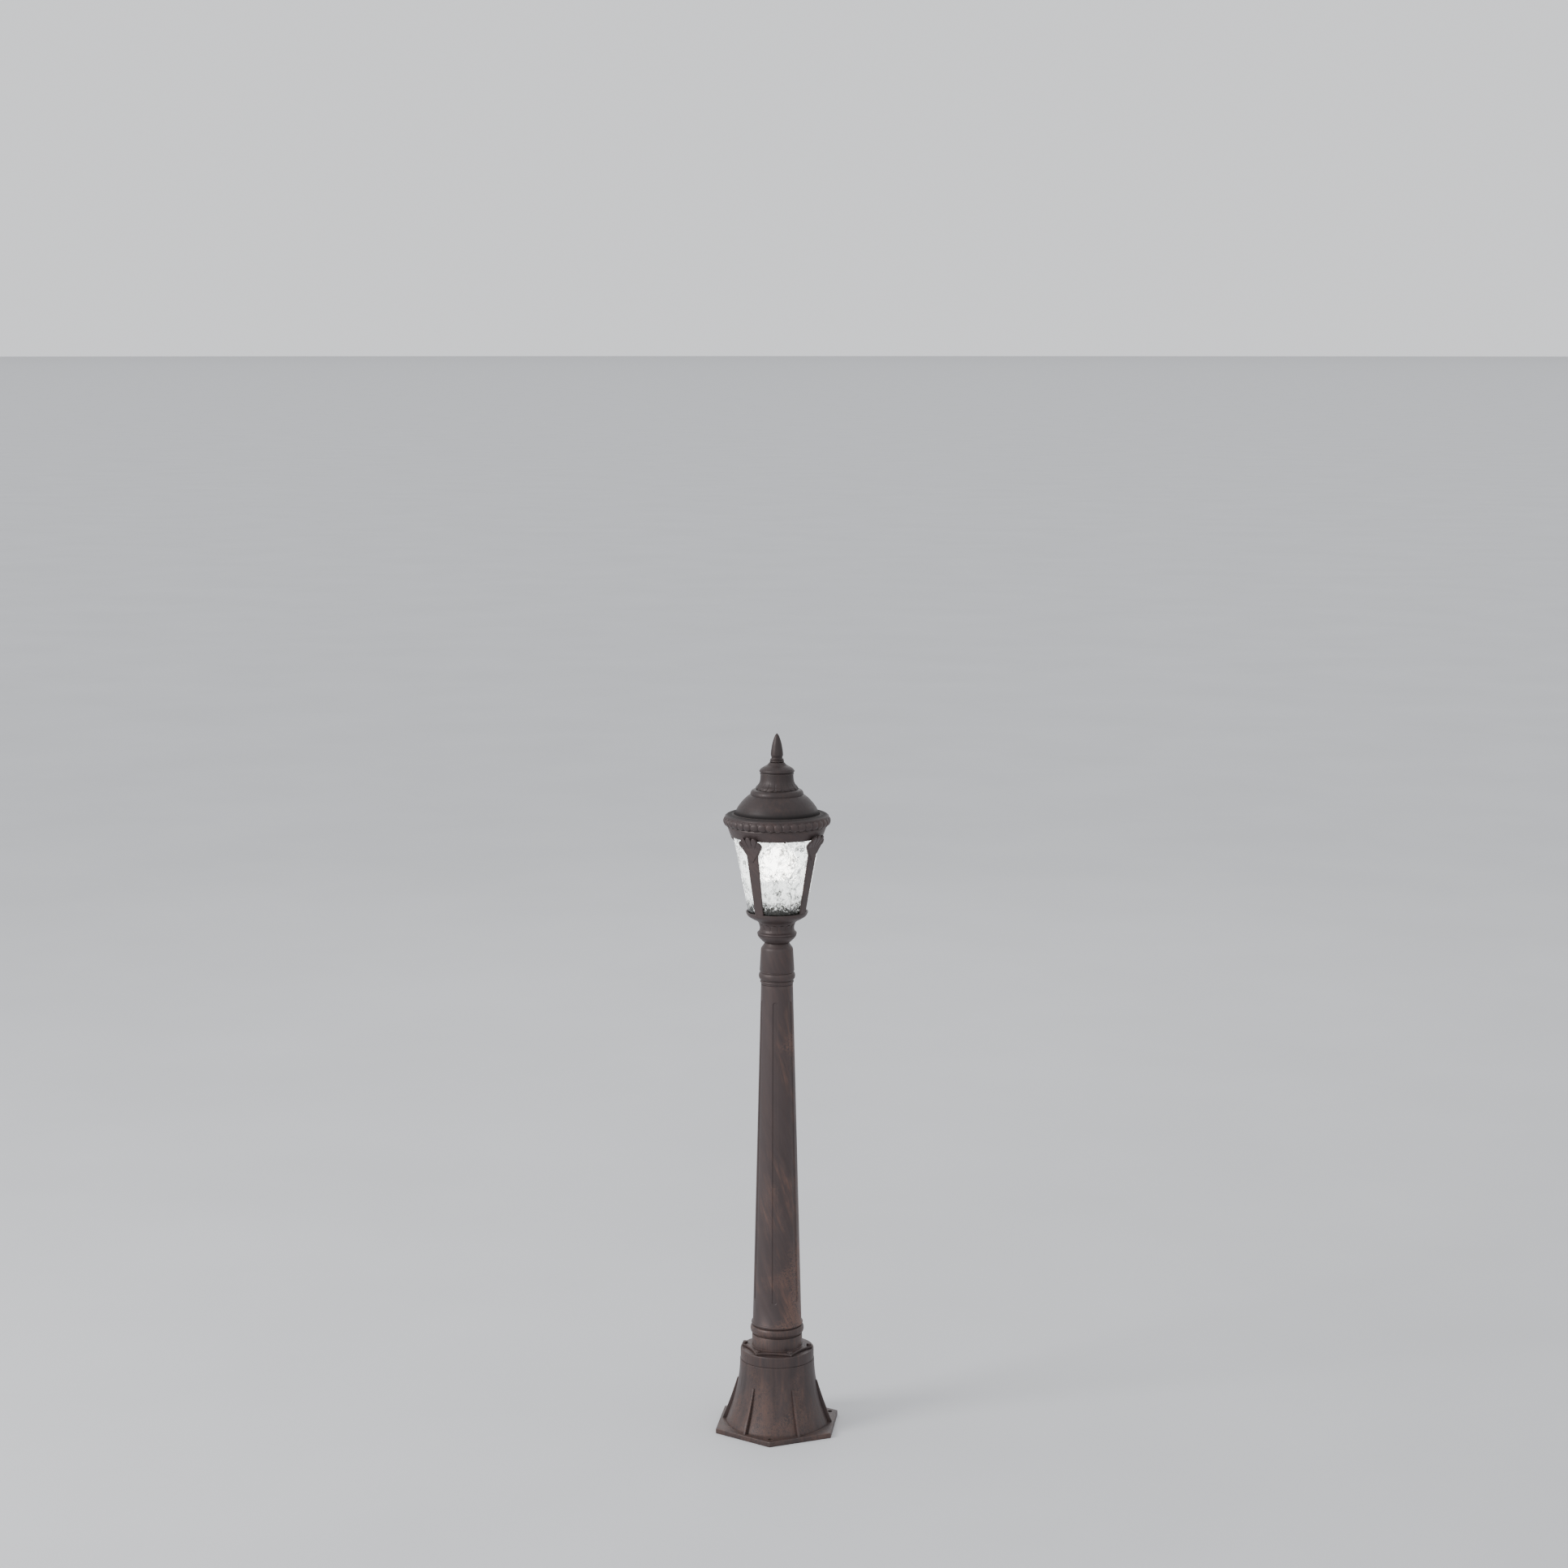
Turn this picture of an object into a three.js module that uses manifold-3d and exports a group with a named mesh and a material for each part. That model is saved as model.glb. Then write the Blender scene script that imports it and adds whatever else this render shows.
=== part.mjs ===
// A cast garden lamp post: a six-sided plate and a flared bell, a fluted tapered shaft, and a
// round lantern of clear glass under a domed roof that its pointed finial holds down.
// Units are millimetres, +Z is up, and the origin is the centre of the plate's underside.
// A direction of 0 degrees is towards -Y and 90 degrees is towards +X.

import * as THREE from "three";
import { mergeVertices } from "three/addons/utils/BufferGeometryUtils.js";
import Module from "manifold-3d";

const wasm = await Module();
wasm.setup();

// Clearances
const seatGap = 0.3; // between two pieces that rest on each other
const boltPlay = 0.3; // round a shank or a spigot, on the radius
const threadPlay = 0.4; // round a thread that turns, on the radius

// Facets in a full turn
const wideFacets = 24;
const slimFacets = 18;
const finialFacets = 16;
const smallFacets = 12;

// Base casting
const plateCorner = 114; // radius to the six corners
const plateThickness = 9;
const plateChamfer = 1.5;
const anchorMargin = 15; // from a corner to its hole's centre
const anchorHole = 4.5;
const anchorDirections = [30, 150, 270];
const bellHeight = 112;
const bellTop = 63.6;
const bellMargin = 10.7; // of plate left round the bell's foot, at the middle of a side
const bellCurve = 1.9;
const bellWall = 5;
const ledgeThickness = 12;
const ledgeWidth = 9; // from the bolts' circle to the ledge's inner edge
const finCount = 6;
const finWidth = 4.6;
const finHeight = 74;
const finFoot = 7; // how far a fin's foot stands out of the bell's foot
const finHead = 1.6;

// Collar and flange bolts
const collarHeight = 18;
const collarInset = 0.8; // of the collar from the bell's top edge
const collarWidth = 22.8;
const collarRound = 2;
const boltCount = 6;
const boltMargin = 7.8; // from the collar's edge to the bolts' circle
const boltShank = 2.5;
const boltHead = 4.6; // radius to the corners of the hexagon
const boltHeadHeight = 3.6;
const boltGrip = 10; // how deep a bolt reaches into the bell's ledge

// Post foot, foot ring and shaft
const flangeThickness = 4;
const flangeCornerMargin = 6; // outside the bolts' circle
const flangeWaistMargin = 5; // inside the bolts' circle
const footRadius = 42.9;
const footHeight = 25.4;
const footWall = 6.9;
const spigotSeat = 6.5; // the spigot's end above the flange's underside
const footRingHeight = 16.7;
const footRingProud = 2.8;
const lipProud = 1.1;
const lipHeight = 4.7;
const shaftInset = 1.2; // of the shaft's foot from the post foot
const shaftTopRadius = 27;
const shaftLength = 591.7;
const shaftWall = 5;
const fluteCount = 6;
const fluteWidth = 9;
const fluteDepth = 1.3;
const fluteFootMargin = 38; // plain shaft below the flutes
const fluteHeadMargin = 27; // plain shaft above the flutes

// Top ring and neck sleeve
const topSpigotInset = 6;
const topSpigotWall = 6;
const topRingHeight = 22.4;
const topRingProud = 3.8;
const sleeveHeight = 48;
const sleeveFootProud = 2.4;
const sleeveTopProud = 0.3;
const sleeveShoulder = 12; // height of the rounded shoulder
const sleeveWaist = 20.8;
const sleeveCeiling = 19; // thickness of solid metal at the sleeve's top

// Lantern pedestal and bowl
const lanternTurn = 2; // degrees that the lantern stands turned from the base
const pedestalHeight = 33.2;
const knopRadius = 33.4;
const pedestalWaist = 29;
const bowlHeight = 20.2;
const bowlFootRadius = 31;
const bowlRimRadius = 52.4;
const bowlRimWall = 3.1;
const bowlFloor = 4;
const gasketThickness = 1;
const gasketWidth = 3.5;

// Glass, cage and frieze
const glassWall = 3;
const glassTopRadius = 73.8;
const glassPlay = 0.3; // between the glass and the bowl's rim, on the radius
const glassRise = 2; // how far the glass reaches up behind the frieze
const cageHeight = 128;
const strapCount = 4;
const strapThickness = 3.2;
const strapStandoff = 0.7; // between a strap and the glass
const strapFootHalf = 8;
const strapHeadHalf = 10.8;
const leafBottom = 24; // the leaf's root below the frieze's lower edge
const leafSpread = 66; // degrees from the middle lobe to an outer lobe
const leafSideReach = 25;
const leafTopReach = 32;
const leafNotch = 4.5;
const friezeHeight = 16;
const friezeFootWall = 2.4;
const friezeTopWall = 7.6;
const clipRoom = 1.6; // between the glass's top and the frieze, on the radius
const strapScrewShank = 1.5;
const strapScrewHead = 2.8;
const strapScrewHeadHeight = 1.9;
const strapScrewRise = 5.5; // above the frieze's lower edge
const clipCount = 4;
const clipWidth = 3.4;
const clipThickness = 0.9;
const clipDrop = 1.5; // below the frieze's lower edge

// Roof
const brimInset = 4; // of the bead ring's centre line from the frieze's edge
const brimTube = 11.2;
const brimWall = 3.5;
const brimSeatWidth = 1.7;
const brimHeight = 16.7;
const domeInset = 7; // of the dome's foot from the bead ring's centre line
const domeHeight = 45.7;
const domeSwell = 1.6;
const domeWall = 3;
const stepHeight = 9.2;
const stepFootRadius = 44.6;
const stepTopRadius = 38.6;
const neckHeight = 24.7;
const neckInset = 2; // of the neck's foot from the step's top
const neckTopRadius = 27.6;
const neckWall = 3;
const knobHeight = 19.7;
const knobProud = 2;
const knobTopRadius = 12.6;
const washerHeight = 3.4;
const washerInset = 0.4;
const finialHeight = 45;
const finialNeck = 9.3;
const finialRadius = 10.5;

// Bridge, stud and nuts that hold the roof down
const bridgePlay = 1.3; // between the bridge's ends and the roof's seat
const bridgeHalfWidth = 7;
const bridgeThickness = 2.7;
const bridgeDirection = 22.5;
const bridgeScrewMargin = 2.8; // from the frieze's bore to the screws' circle
const bridgeScrewShank = 1.5;
const bridgeScrewHead = 2.5;
const bridgeScrewHeadHeight = 1.8;
const bridgeScrewGrip = 4.5;
const studRadius = 4; // an M8 stud, of pitch 1.25
const studNutRadius = 7.5;
const studNutHeight = 5.5;
const studTail = 0.9; // beyond the lower nut
const studInFinial = 17; // how far the stud reaches into the finial
const insertWall = 2.3;
const insertLength = 18;

// Cable way and electrics
const nippleRadius = 5; // an M10 hollow nipple
const nippleBore = 3.5;
const nippleNutRadius = 9.8;
const nippleNutHeight = 5;
const nippleTail = 1.5;
const leadRadius = 3;
const holderRadius = 19.5;
const holderHeight = 38;
const holderFloor = 9.1;
const bulbThread = 13.1; // an E27 cap
const bulbCapHeight = 24;
const bulbContactRadius = 4.5;
const bulbContactHeight = 3.3;
const bulbBodyHeight = 28.4;
const bulbBodyFoot = 14.2;
const bulbBodyTop = 20.7;
const bulbDomeRadius = 30;
const bulbDomeWall = 1;
const lightBoardRadius = 18.5;
const lightBoardThickness = 1.5;
const bossProud = 6.6; // of an inner boss's face from the bell's inner wall
const bossHalfWidth = 15;
const bossFoot = 58; // height of a boss's underside above the plate
const bossHeight = 26;
const blockWidth = 34;
const blockDepth = 14;
const blockHeight = 16;
const blockDirection = 180;
const earthDirection = 236;
const innerScrewShank = 1.5;
const innerScrewHead = 3;
const innerScrewHeadHeight = 2;
const innerScrewGrip = 7;
const earthWireRadius = 1.2;

// Radii that follow from the sizes above
const anchorCircle = plateCorner - anchorMargin;
const plateFlat = plateCorner * Math.cos(Math.PI / 6);
const bellFlare = plateFlat - bellMargin - bellTop;
const bossReach = bellTop - bellWall - bossProud;
const collarRadius = bellTop - collarInset;
const collarBore = collarRadius - collarWidth;
const boltCircle = collarRadius - boltMargin;
const ledgeBore = boltCircle - ledgeWidth;
const flangeCorner = boltCircle + flangeCornerMargin;
const flangeWaist = boltCircle - flangeWaistMargin;
const spigotRadius = footRadius - footWall;
const footRingRadius = footRadius + footRingProud;
const lipRadius = footRadius + lipProud;
const shaftFootRadius = footRadius - shaftInset;
const topSpigotRadius = shaftTopRadius - topSpigotInset;
const topSpigotBore = topSpigotRadius - topSpigotWall;
const topRingRadius = shaftTopRadius + topRingProud;
const sleeveFootRadius = shaftTopRadius + sleeveFootProud;
const sleeveTopRadius = shaftTopRadius + sleeveTopProud;
const friezeBore = glassTopRadius + clipRoom;
const friezeFootRadius = friezeBore + friezeFootWall;
const friezeTopRadius = friezeBore + friezeTopWall;
const brimRadius = friezeTopRadius - brimInset;
const brimSeat = friezeTopRadius - brimSeatWidth;
const domeFootRadius = brimRadius - domeInset;
const neckFootRadius = stepTopRadius - neckInset;
const knobRadius = neckTopRadius + knobProud;
const washerRadius = knobTopRadius - washerInset;
const bridgeHalfLength = brimSeat - bridgePlay;
const bridgeScrewCircle = friezeBore + bridgeScrewMargin;
const insertRadius = studRadius + boltPlay + insertWall;

// Heights of the pieces' undersides above the ground
const bellBase = plateThickness;
const collarBase = bellBase + bellHeight + seatGap;
const footBase = collarBase + collarHeight + seatGap;
const footRingBase = footBase + footHeight + seatGap;
const shaftBase = footRingBase + footRingHeight + seatGap;
const topRingBase = shaftBase + shaftLength + seatGap;
const sleeveBase = topRingBase + topRingHeight + seatGap;
const pedestalBase = sleeveBase + sleeveHeight + seatGap;
const bowlBase = pedestalBase + pedestalHeight + seatGap;
const rimHeight = bowlBase + bowlHeight;
const friezeBase = rimHeight + cageHeight;
const brimBase = friezeBase + friezeHeight + seatGap;
const domeBase = brimBase + brimHeight + seatGap;
const neckBase = domeBase + domeHeight + seatGap;
const knobBase = neckBase + neckHeight + seatGap;
const washerBase = knobBase + knobHeight + seatGap;
const finialBase = washerBase + washerHeight + seatGap;

// --- Shape helpers -------------------------------------------------------------------------

// A surface of revolution about Z. Its profile of [radius, height] points starts and ends on
// the axis, and runs outwards and then up.
function turned(profile, facets) {
  const points = profile.map(([r, h]) => new THREE.Vector2(r, h));
  return new THREE.LatheGeometry(points, facets).rotateX(Math.PI / 2);
}

// A ring whose profile closes on itself: up the outside, then down the inside.
function turnedRing(outside, inside, facets) {
  const profile = [...outside, ...inside];
  return turned([...profile, profile[0]], facets);
}

function rod(radius, from, to, facets = smallFacets) {
  return turned([[0, from], [radius, from], [radius, to], [0, to]], facets);
}

function tube(radius, bore, from, to, facets) {
  return turnedRing([[radius, from], [radius, to]], [[bore, to], [bore, from]], facets);
}

// Points on an arc in the profile's plane, with angles from +radius towards +height.
function arc(r, h, radius, from, to, steps) {
  return Array.from({ length: steps + 1 }, (_, i) => {
    const angle = THREE.MathUtils.degToRad(from + ((to - from) * i) / steps);
    return [r + radius * Math.cos(angle), h + radius * Math.sin(angle)];
  });
}

// A smooth line through the given profile points.
function flowing(points, steps) {
  const line = new THREE.SplineCurve(points.map(([r, h]) => new THREE.Vector2(r, h)));
  return line.getPoints(steps).map((point) => [point.x, point.y]);
}

// A flat outline given a thickness along Z.
function slab(outline, thickness, chamfer = 0) {
  const shape = new THREE.Shape(outline.map(([x, y]) => new THREE.Vector2(x, y)));
  const extruded = new THREE.ExtrudeGeometry(shape, {
    depth: thickness - 2 * chamfer,
    bevelEnabled: chamfer > 0,
    bevelThickness: chamfer,
    bevelSize: chamfer,
    bevelOffset: -chamfer,
    bevelSegments: 1,
  });
  return extruded.translate(0, 0, chamfer);
}

// An outline of [radius, height] points given a width, standing in the XZ plane.
function standing(outline, width) {
  return slab(outline, width)
    .translate(0, 0, -width / 2)
    .rotateX(Math.PI / 2);
}

// A box from its low corner to its high corner.
function block([x0, y0, z0], [x1, y1, z1]) {
  const box = new THREE.BoxGeometry(x1 - x0, y1 - y0, z1 - z0);
  return box.translate((x0 + x1) / 2, (y0 + y1) / 2, (z0 + z1) / 2);
}

// A round wire along a curve.
function wire(points, radius, sides, steps) {
  const circle = Array.from({ length: sides }, (_, i) => {
    const angle = (2 * Math.PI * i) / sides;
    return new THREE.Vector2(radius * Math.cos(angle), radius * Math.sin(angle));
  });
  const route = new THREE.CatmullRomCurve3(points.map((point) => new THREE.Vector3(...point)));
  return new THREE.ExtrudeGeometry(new THREE.Shape(circle), { steps, extrudePath: route });
}

// Turns a shape that stands along +X to face a direction.
function facing(geometry, direction) {
  return geometry.clone().rotateZ(THREE.MathUtils.degToRad(direction - 90));
}

function offset(direction, radius) {
  const angle = THREE.MathUtils.degToRad(direction);
  return [radius * Math.sin(angle), -radius * Math.cos(angle)];
}

function spread(count, first = 0) {
  return Array.from({ length: count }, (_, i) => first + (360 * i) / count);
}

// --- Joining and cutting -------------------------------------------------------------------

function solid(geometry) {
  const bare = new THREE.BufferGeometry();
  bare.setAttribute("position", geometry.getAttribute("position"));
  bare.setIndex(geometry.getIndex());
  const merged = mergeVertices(bare, 1e-4);
  const triVerts = [];
  const corners = merged.index.array;
  for (let i = 0; i < corners.length; i += 3) {
    const [a, b, c] = corners.subarray(i, i + 3);
    if (a !== b && b !== c && c !== a) triVerts.push(a, b, c);
  }
  const mesh = new wasm.Mesh({
    numProp: 3,
    vertProperties: merged.getAttribute("position").array,
    triVerts: new Uint32Array(triVerts),
  });
  return new wasm.Manifold(mesh);
}

function joined(geometries) {
  return geometries.map(solid).reduce((whole, next) => whole.add(next));
}

function less(body, geometries) {
  return geometries.map(solid).reduce((whole, tool) => whole.subtract(tool), body);
}

function asGeometry(body) {
  const mesh = body.getMesh();
  const geometry = new THREE.BufferGeometry();
  geometry.setAttribute("position", new THREE.BufferAttribute(mesh.vertProperties, 3));
  geometry.setIndex(new THREE.BufferAttribute(mesh.triVerts, 1));
  geometry.computeVertexNormals();
  return geometry;
}

// Upright round holes at a distance from the axis.
function holes(directions, circle, radius, from, to) {
  return directions.map((direction) => {
    const [x, y] = offset(direction, circle);
    return rod(radius, from, to).translate(x, y, 0);
  });
}

// A rod or screw that lies along a radius, from an inner to an outer distance.
function radialRod(radius, from, to, height, direction) {
  const lying = rod(radius, from, to).rotateY(Math.PI / 2).translate(0, 0, height);
  return facing(lying, direction);
}

// --- Finishes ------------------------------------------------------------------------------

const finishes = {
  bronze: { color: 0x574641, roughness: 0.55, metalness: 0.35 },
  steel: { color: 0x9a9a98, roughness: 0.4, metalness: 0.9 },
  brass: { color: 0xb08d4a, roughness: 0.35, metalness: 0.9 },
  rubber: { color: 0xcfcfcb, roughness: 0.8, metalness: 0 },
  glass: { color: 0xeef1ee, roughness: 0.05, metalness: 0, transparent: true, opacity: 0.35 },
  porcelain: { color: 0xf0eee6, roughness: 0.3, metalness: 0 },
  bulbWhite: { color: 0xf5f5f2, roughness: 0.5, metalness: 0 },
  milkGlass: { color: 0xfffcf4, roughness: 0.4, metalness: 0, emissive: 0xfff2dd },
  nickel: { color: 0xc9c8c4, roughness: 0.3, metalness: 1 },
  cable: { color: 0x1c1c1c, roughness: 0.7, metalness: 0 },
  earthGreen: { color: 0x5f9a3a, roughness: 0.6, metalness: 0 },
};

function piece(parent, name, geometry, finish, height = 0, direction = 0) {
  const mesh = new THREE.Mesh(geometry, new THREE.MeshStandardMaterial(finishes[finish]));
  mesh.name = name;
  mesh.position.z = height;
  mesh.rotation.z = THREE.MathUtils.degToRad(direction);
  parent.add(mesh);
  return mesh;
}

// --- Base ----------------------------------------------------------------------------------

function hexagon(corner) {
  return spread(6, 30).map((direction) => offset(direction, corner));
}

// The bell narrows as a power of the height that is left above a point.
function bellRadius(height) {
  return bellTop + bellFlare * Math.pow(1 - height / bellHeight, bellCurve);
}

function bellLine(inset, height, steps) {
  return Array.from({ length: steps + 1 }, (_, i) => {
    const level = (height * i) / steps;
    return [bellRadius(level) - inset, bellBase + level];
  });
}

function bellOutside() {
  const root = bellBase - plateThickness / 2;
  const crown = bellBase + bellHeight;
  const line = bellLine(0, bellHeight, 7);
  return turned([[0, root], [line[0][0], root], ...line, [0, crown]], wideFacets);
}

function bellHollow() {
  const ledgeUnder = bellHeight - ledgeThickness;
  const line = bellLine(bellWall, ledgeUnder, 5);
  return turned([[0, -1], [line[0][0], -1], ...line, [0, bellBase + ledgeUnder]], wideFacets);
}

function fin() {
  const back = bellLine(bellWall / 2, finHeight, 3).reverse();
  const root = bellBase - plateChamfer;
  const outline = [
    [back[back.length - 1][0], root],
    [bellRadius(0) + finFoot, root],
    [bellRadius(0) + finFoot, bellBase + 1],
    [bellRadius(finHeight) + finHead, bellBase + finHeight],
    ...back,
  ];
  return standing(outline, finWidth);
}

// A lug on the bell's inner wall, with a flat face towards the axis.
function boss(direction) {
  const low = [bossReach, -bossHalfWidth, bellBase + bossFoot];
  const high = [bellRadius(0), bossHalfWidth, bellBase + bossFoot + bossHeight];
  return facing(block(low, high), direction);
}

const innerScrewHeight = bellBase + bossFoot + bossHeight / 2;

function baseCasting() {
  const bell = solid(bellOutside());
  const plate = slab(hexagon(plateCorner), plateThickness, plateChamfer);
  const fins = spread(finCount).map((direction) => facing(fin(), direction));
  const bosses = joined([boss(blockDirection), boss(earthDirection)]).intersect(bell);
  const crown = bellBase + bellHeight;
  const ledgeUnder = crown - ledgeThickness;
  const shell = less(joined([plate, ...fins]).add(bell), [
    bellHollow(),
    rod(ledgeBore, ledgeUnder - 1, crown + 1, wideFacets),
  ]);
  return asGeometry(
    less(shell.add(bosses), [
      ...holes(anchorDirections, anchorCircle, anchorHole, -1, plateThickness + 1),
      ...holes(spread(boltCount), boltCircle, boltShank + boltPlay, ledgeUnder - 1, crown + 1),
      ...[blockDirection, earthDirection].map((direction) =>
        radialRod(
          innerScrewShank + boltPlay,
          bossReach - 1,
          bossReach + innerScrewGrip + seatGap,
          innerScrewHeight,
          direction,
        ),
      ),
    ]),
  );
}

function baseCollar() {
  const outside = [
    [collarRadius, 0],
    ...arc(collarRadius - collarRound, collarHeight - collarRound, collarRound, 0, 90, 2),
  ];
  const inside = [[collarBore, collarHeight], [collarBore, 0]];
  const body = solid(turnedRing(outside, inside, wideFacets));
  const bores = holes(spread(boltCount), boltCircle, boltShank + boltPlay, -1, collarHeight + 1);
  return asGeometry(less(body, bores));
}

function flangeBolt() {
  const under = collarHeight + flangeThickness + 2 * seatGap + boltGrip;
  const shank = rod(boltShank, -under, boltHeadHeight / 2);
  return asGeometry(joined([shank, rod(boltHead, seatGap, boltHeadHeight, 6)]));
}

// --- Post ----------------------------------------------------------------------------------

// The flange has six corners in the fins' directions, with hollow sides between them.
function flangeOutline() {
  const stepsPerSide = 8;
  return spread(6 * stepsPerSide).map((direction, i) => {
    const fromMiddle = Math.abs((i % stepsPerSide) / stepsPerSide - 0.5) * 2;
    const reach = flangeWaist + (flangeCorner - flangeWaist) * Math.pow(fromMiddle, 2.2);
    return offset(direction, reach);
  });
}

function postFoot() {
  const body = joined([
    slab(flangeOutline(), flangeThickness, 0.8),
    rod(footRadius, flangeThickness / 2, footHeight, slimFacets),
  ]);
  const way = spigotRadius - shaftWall;
  return asGeometry(
    less(body, [
      rod(way, -1, footHeight, slimFacets),
      rod(spigotRadius + boltPlay, spigotSeat - seatGap, footHeight + 1, slimFacets),
      ...holes(spread(boltCount), boltCircle, boltShank + boltPlay, -1, flangeThickness + 1),
    ]),
  );
}

function footRing() {
  const groove = 1.6;
  const bulge = footRingHeight - 2 * groove;
  const lineRadius = footRingRadius - bulge / 3;
  const bead = arc(0, 0, 1, -78, 78, 4).map(([out, up]) => [
    lineRadius + (bulge / 3) * out,
    footRingHeight / 2 + (bulge / 2) * up,
  ]);
  const outside = [
    [footRadius - 1, 0],
    [footRadius - 1, groove],
    ...bead,
    [footRadius - 1, footRingHeight - groove],
    [footRadius - 1, footRingHeight],
  ];
  const bore = spigotRadius + boltPlay;
  return turnedRing(outside, [[bore, footRingHeight], [bore, 0]], slimFacets);
}

const spigotLength = footRingHeight + footHeight - spigotSeat + 2 * seatGap;
const taperLength = shaftLength - lipHeight;
const taperAngle = Math.atan((shaftFootRadius - shaftTopRadius) / taperLength);

// A long slot with round ends, laid against the shaft's slope.
function fluteCutter() {
  const half = fluteWidth / 2;
  const length = taperLength - fluteFootMargin - fluteHeadMargin;
  const upper = arc(0, length / 2 - half, half, 0, 180, 4);
  const lower = arc(0, half - length / 2, half, 180, 360, 4);
  const cutter = slab([...upper, ...lower], 4 * fluteDepth);
  const middle = lipHeight + fluteFootMargin + length / 2;
  const radius = shaftFootRadius - (middle - lipHeight) * Math.tan(taperAngle);
  return cutter
    .rotateX(Math.PI / 2)
    .rotateZ(Math.PI / 2)
    .rotateY(-taperAngle)
    .translate(radius - fluteDepth, 0, middle);
}

function shaft() {
  const spigotBore = spigotRadius - shaftWall;
  const topWay = shaftTopRadius - shaftWall;
  const topSpigotLength = topRingHeight + sleeveHeight - sleeveCeiling + seatGap;
  const outside = [
    [spigotRadius, -spigotLength],
    [spigotRadius, 0],
    [lipRadius - 1.2, 0],
    [lipRadius, 1.2],
    [lipRadius, lipHeight - 1.5],
    [lipRadius - 1, lipHeight - 0.5],
    [shaftFootRadius, lipHeight],
    [shaftTopRadius, shaftLength],
    [topSpigotRadius, shaftLength],
    [topSpigotRadius, shaftLength + topSpigotLength],
  ];
  const inside = [
    [topSpigotBore, shaftLength + topSpigotLength],
    [topSpigotBore, shaftLength - shaftWall],
    [topWay, shaftLength - 3 * shaftWall],
    [spigotBore, shaftWall],
    [spigotBore, -spigotLength],
  ];
  const body = solid(turnedRing(outside, inside, slimFacets));
  const flutes = spread(fluteCount, 30).map((direction) => facing(fluteCutter(), direction));
  return asGeometry(less(body, flutes));
}

function topRing() {
  const beadFoot = 8.5;
  const beadHeight = 12;
  const bore = topSpigotRadius + boltPlay;
  const bead = arc(0, 0, 1, -75, 75, 4).map(([out, up]) => [
    topRingRadius - 3 + 3 * out,
    beadFoot + (beadHeight / 2) * (1 + up),
  ]);
  const outside = [
    [shaftTopRadius - 0.4, 0],
    [shaftTopRadius + 0.6, 1],
    ...arc(shaftTopRadius - 0.7, 4.6, 2.2, -60, 60, 3),
    [shaftTopRadius + 0.3, 8],
    ...bead,
    [topRingRadius - 2.6, topRingHeight - 1.2],
    [topRingRadius - 2.6, topRingHeight],
  ];
  return turnedRing(outside, [[bore, topRingHeight], [bore, 0]], slimFacets);
}

function neckSleeve() {
  const shoulderFoot = sleeveHeight - sleeveShoulder;
  const spigotBore = topSpigotRadius + boltPlay;
  const ceiling = sleeveHeight - sleeveCeiling;
  const screwBore = nippleRadius + boltPlay;
  const shoulder = flowing(
    [
      [sleeveTopRadius, shoulderFoot],
      [sleeveTopRadius - 0.8, shoulderFoot + 3.5],
      [sleeveWaist + 2.4, sleeveHeight - 4],
      [sleeveWaist, sleeveHeight],
    ],
    6,
  );
  const outside = [[sleeveFootRadius, 0], ...shoulder];
  const inside = [
    [screwBore, sleeveHeight],
    [screwBore, ceiling],
    [spigotBore, ceiling],
    [spigotBore, 0],
  ];
  return turnedRing(outside, inside, slimFacets);
}

// --- Lantern body --------------------------------------------------------------------------

function pedestal() {
  const screwBore = nippleRadius + boltPlay;
  const knop = flowing(
    [
      [sleeveWaist, 0],
      [sleeveWaist + 4.2, 3.2],
      [knopRadius - 3.2, 8.6],
      [knopRadius - 0.6, 12.6],
    ],
    5,
  );
  const outside = [
    ...knop,
    [knopRadius - 0.9, 13.4],
    ...arc(knopRadius - 2.6, 16, 2.6, -50, 50, 3),
    [pedestalWaist + 1.2, 20.6],
    [pedestalWaist, 24],
    [pedestalWaist + 0.4, 29],
    [bowlFootRadius, pedestalHeight],
  ];
  const inside = [[screwBore, pedestalHeight], [screwBore, 0]];
  return turnedRing(outside, inside, slimFacets);
}

const gasketSeat = bowlHeight - 5.5;
const glassFoot = gasketSeat + gasketThickness + 2 * seatGap - bowlHeight;
const glassLength = cageHeight + glassRise - glassFoot;
const glassRimRadius = bowlRimRadius - bowlRimWall - glassPlay;
const glassSlope = (glassTopRadius - glassRimRadius) / (cageHeight + glassRise);

// The glass's outer radius at a height above the bowl's rim.
function glassRadius(height) {
  return glassRimRadius + glassSlope * height;
}

function bowl() {
  const screwBore = nippleRadius + boltPlay;
  const rimBore = bowlRimRadius - bowlRimWall;
  const ledgeBoreInside = rimBore - gasketWidth - 1.3;
  const outside = flowing(
    [
      [bowlFootRadius, 0],
      [bowlFootRadius + 3, 3.8],
      [bowlFootRadius + 11, 8],
      [bowlRimRadius - 3.8, 12.2],
      [bowlRimRadius - 1.1, 16.2],
      [bowlRimRadius, bowlHeight],
    ],
    6,
  );
  const inside = [
    [rimBore, bowlHeight],
    [rimBore, gasketSeat],
    [ledgeBoreInside, gasketSeat],
    [ledgeBoreInside, gasketSeat - 2.5],
    [bowlFootRadius + 7.8, 8.6],
    [bowlFootRadius + 0.5, bowlFloor],
    [screwBore, bowlFloor],
    [screwBore, 0],
  ];
  return turnedRing(outside, inside, wideFacets);
}

function glassGasket() {
  const radius = glassRadius(glassFoot) - 0.4;
  return tube(radius, radius - gasketWidth, 0, gasketThickness, wideFacets);
}

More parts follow.
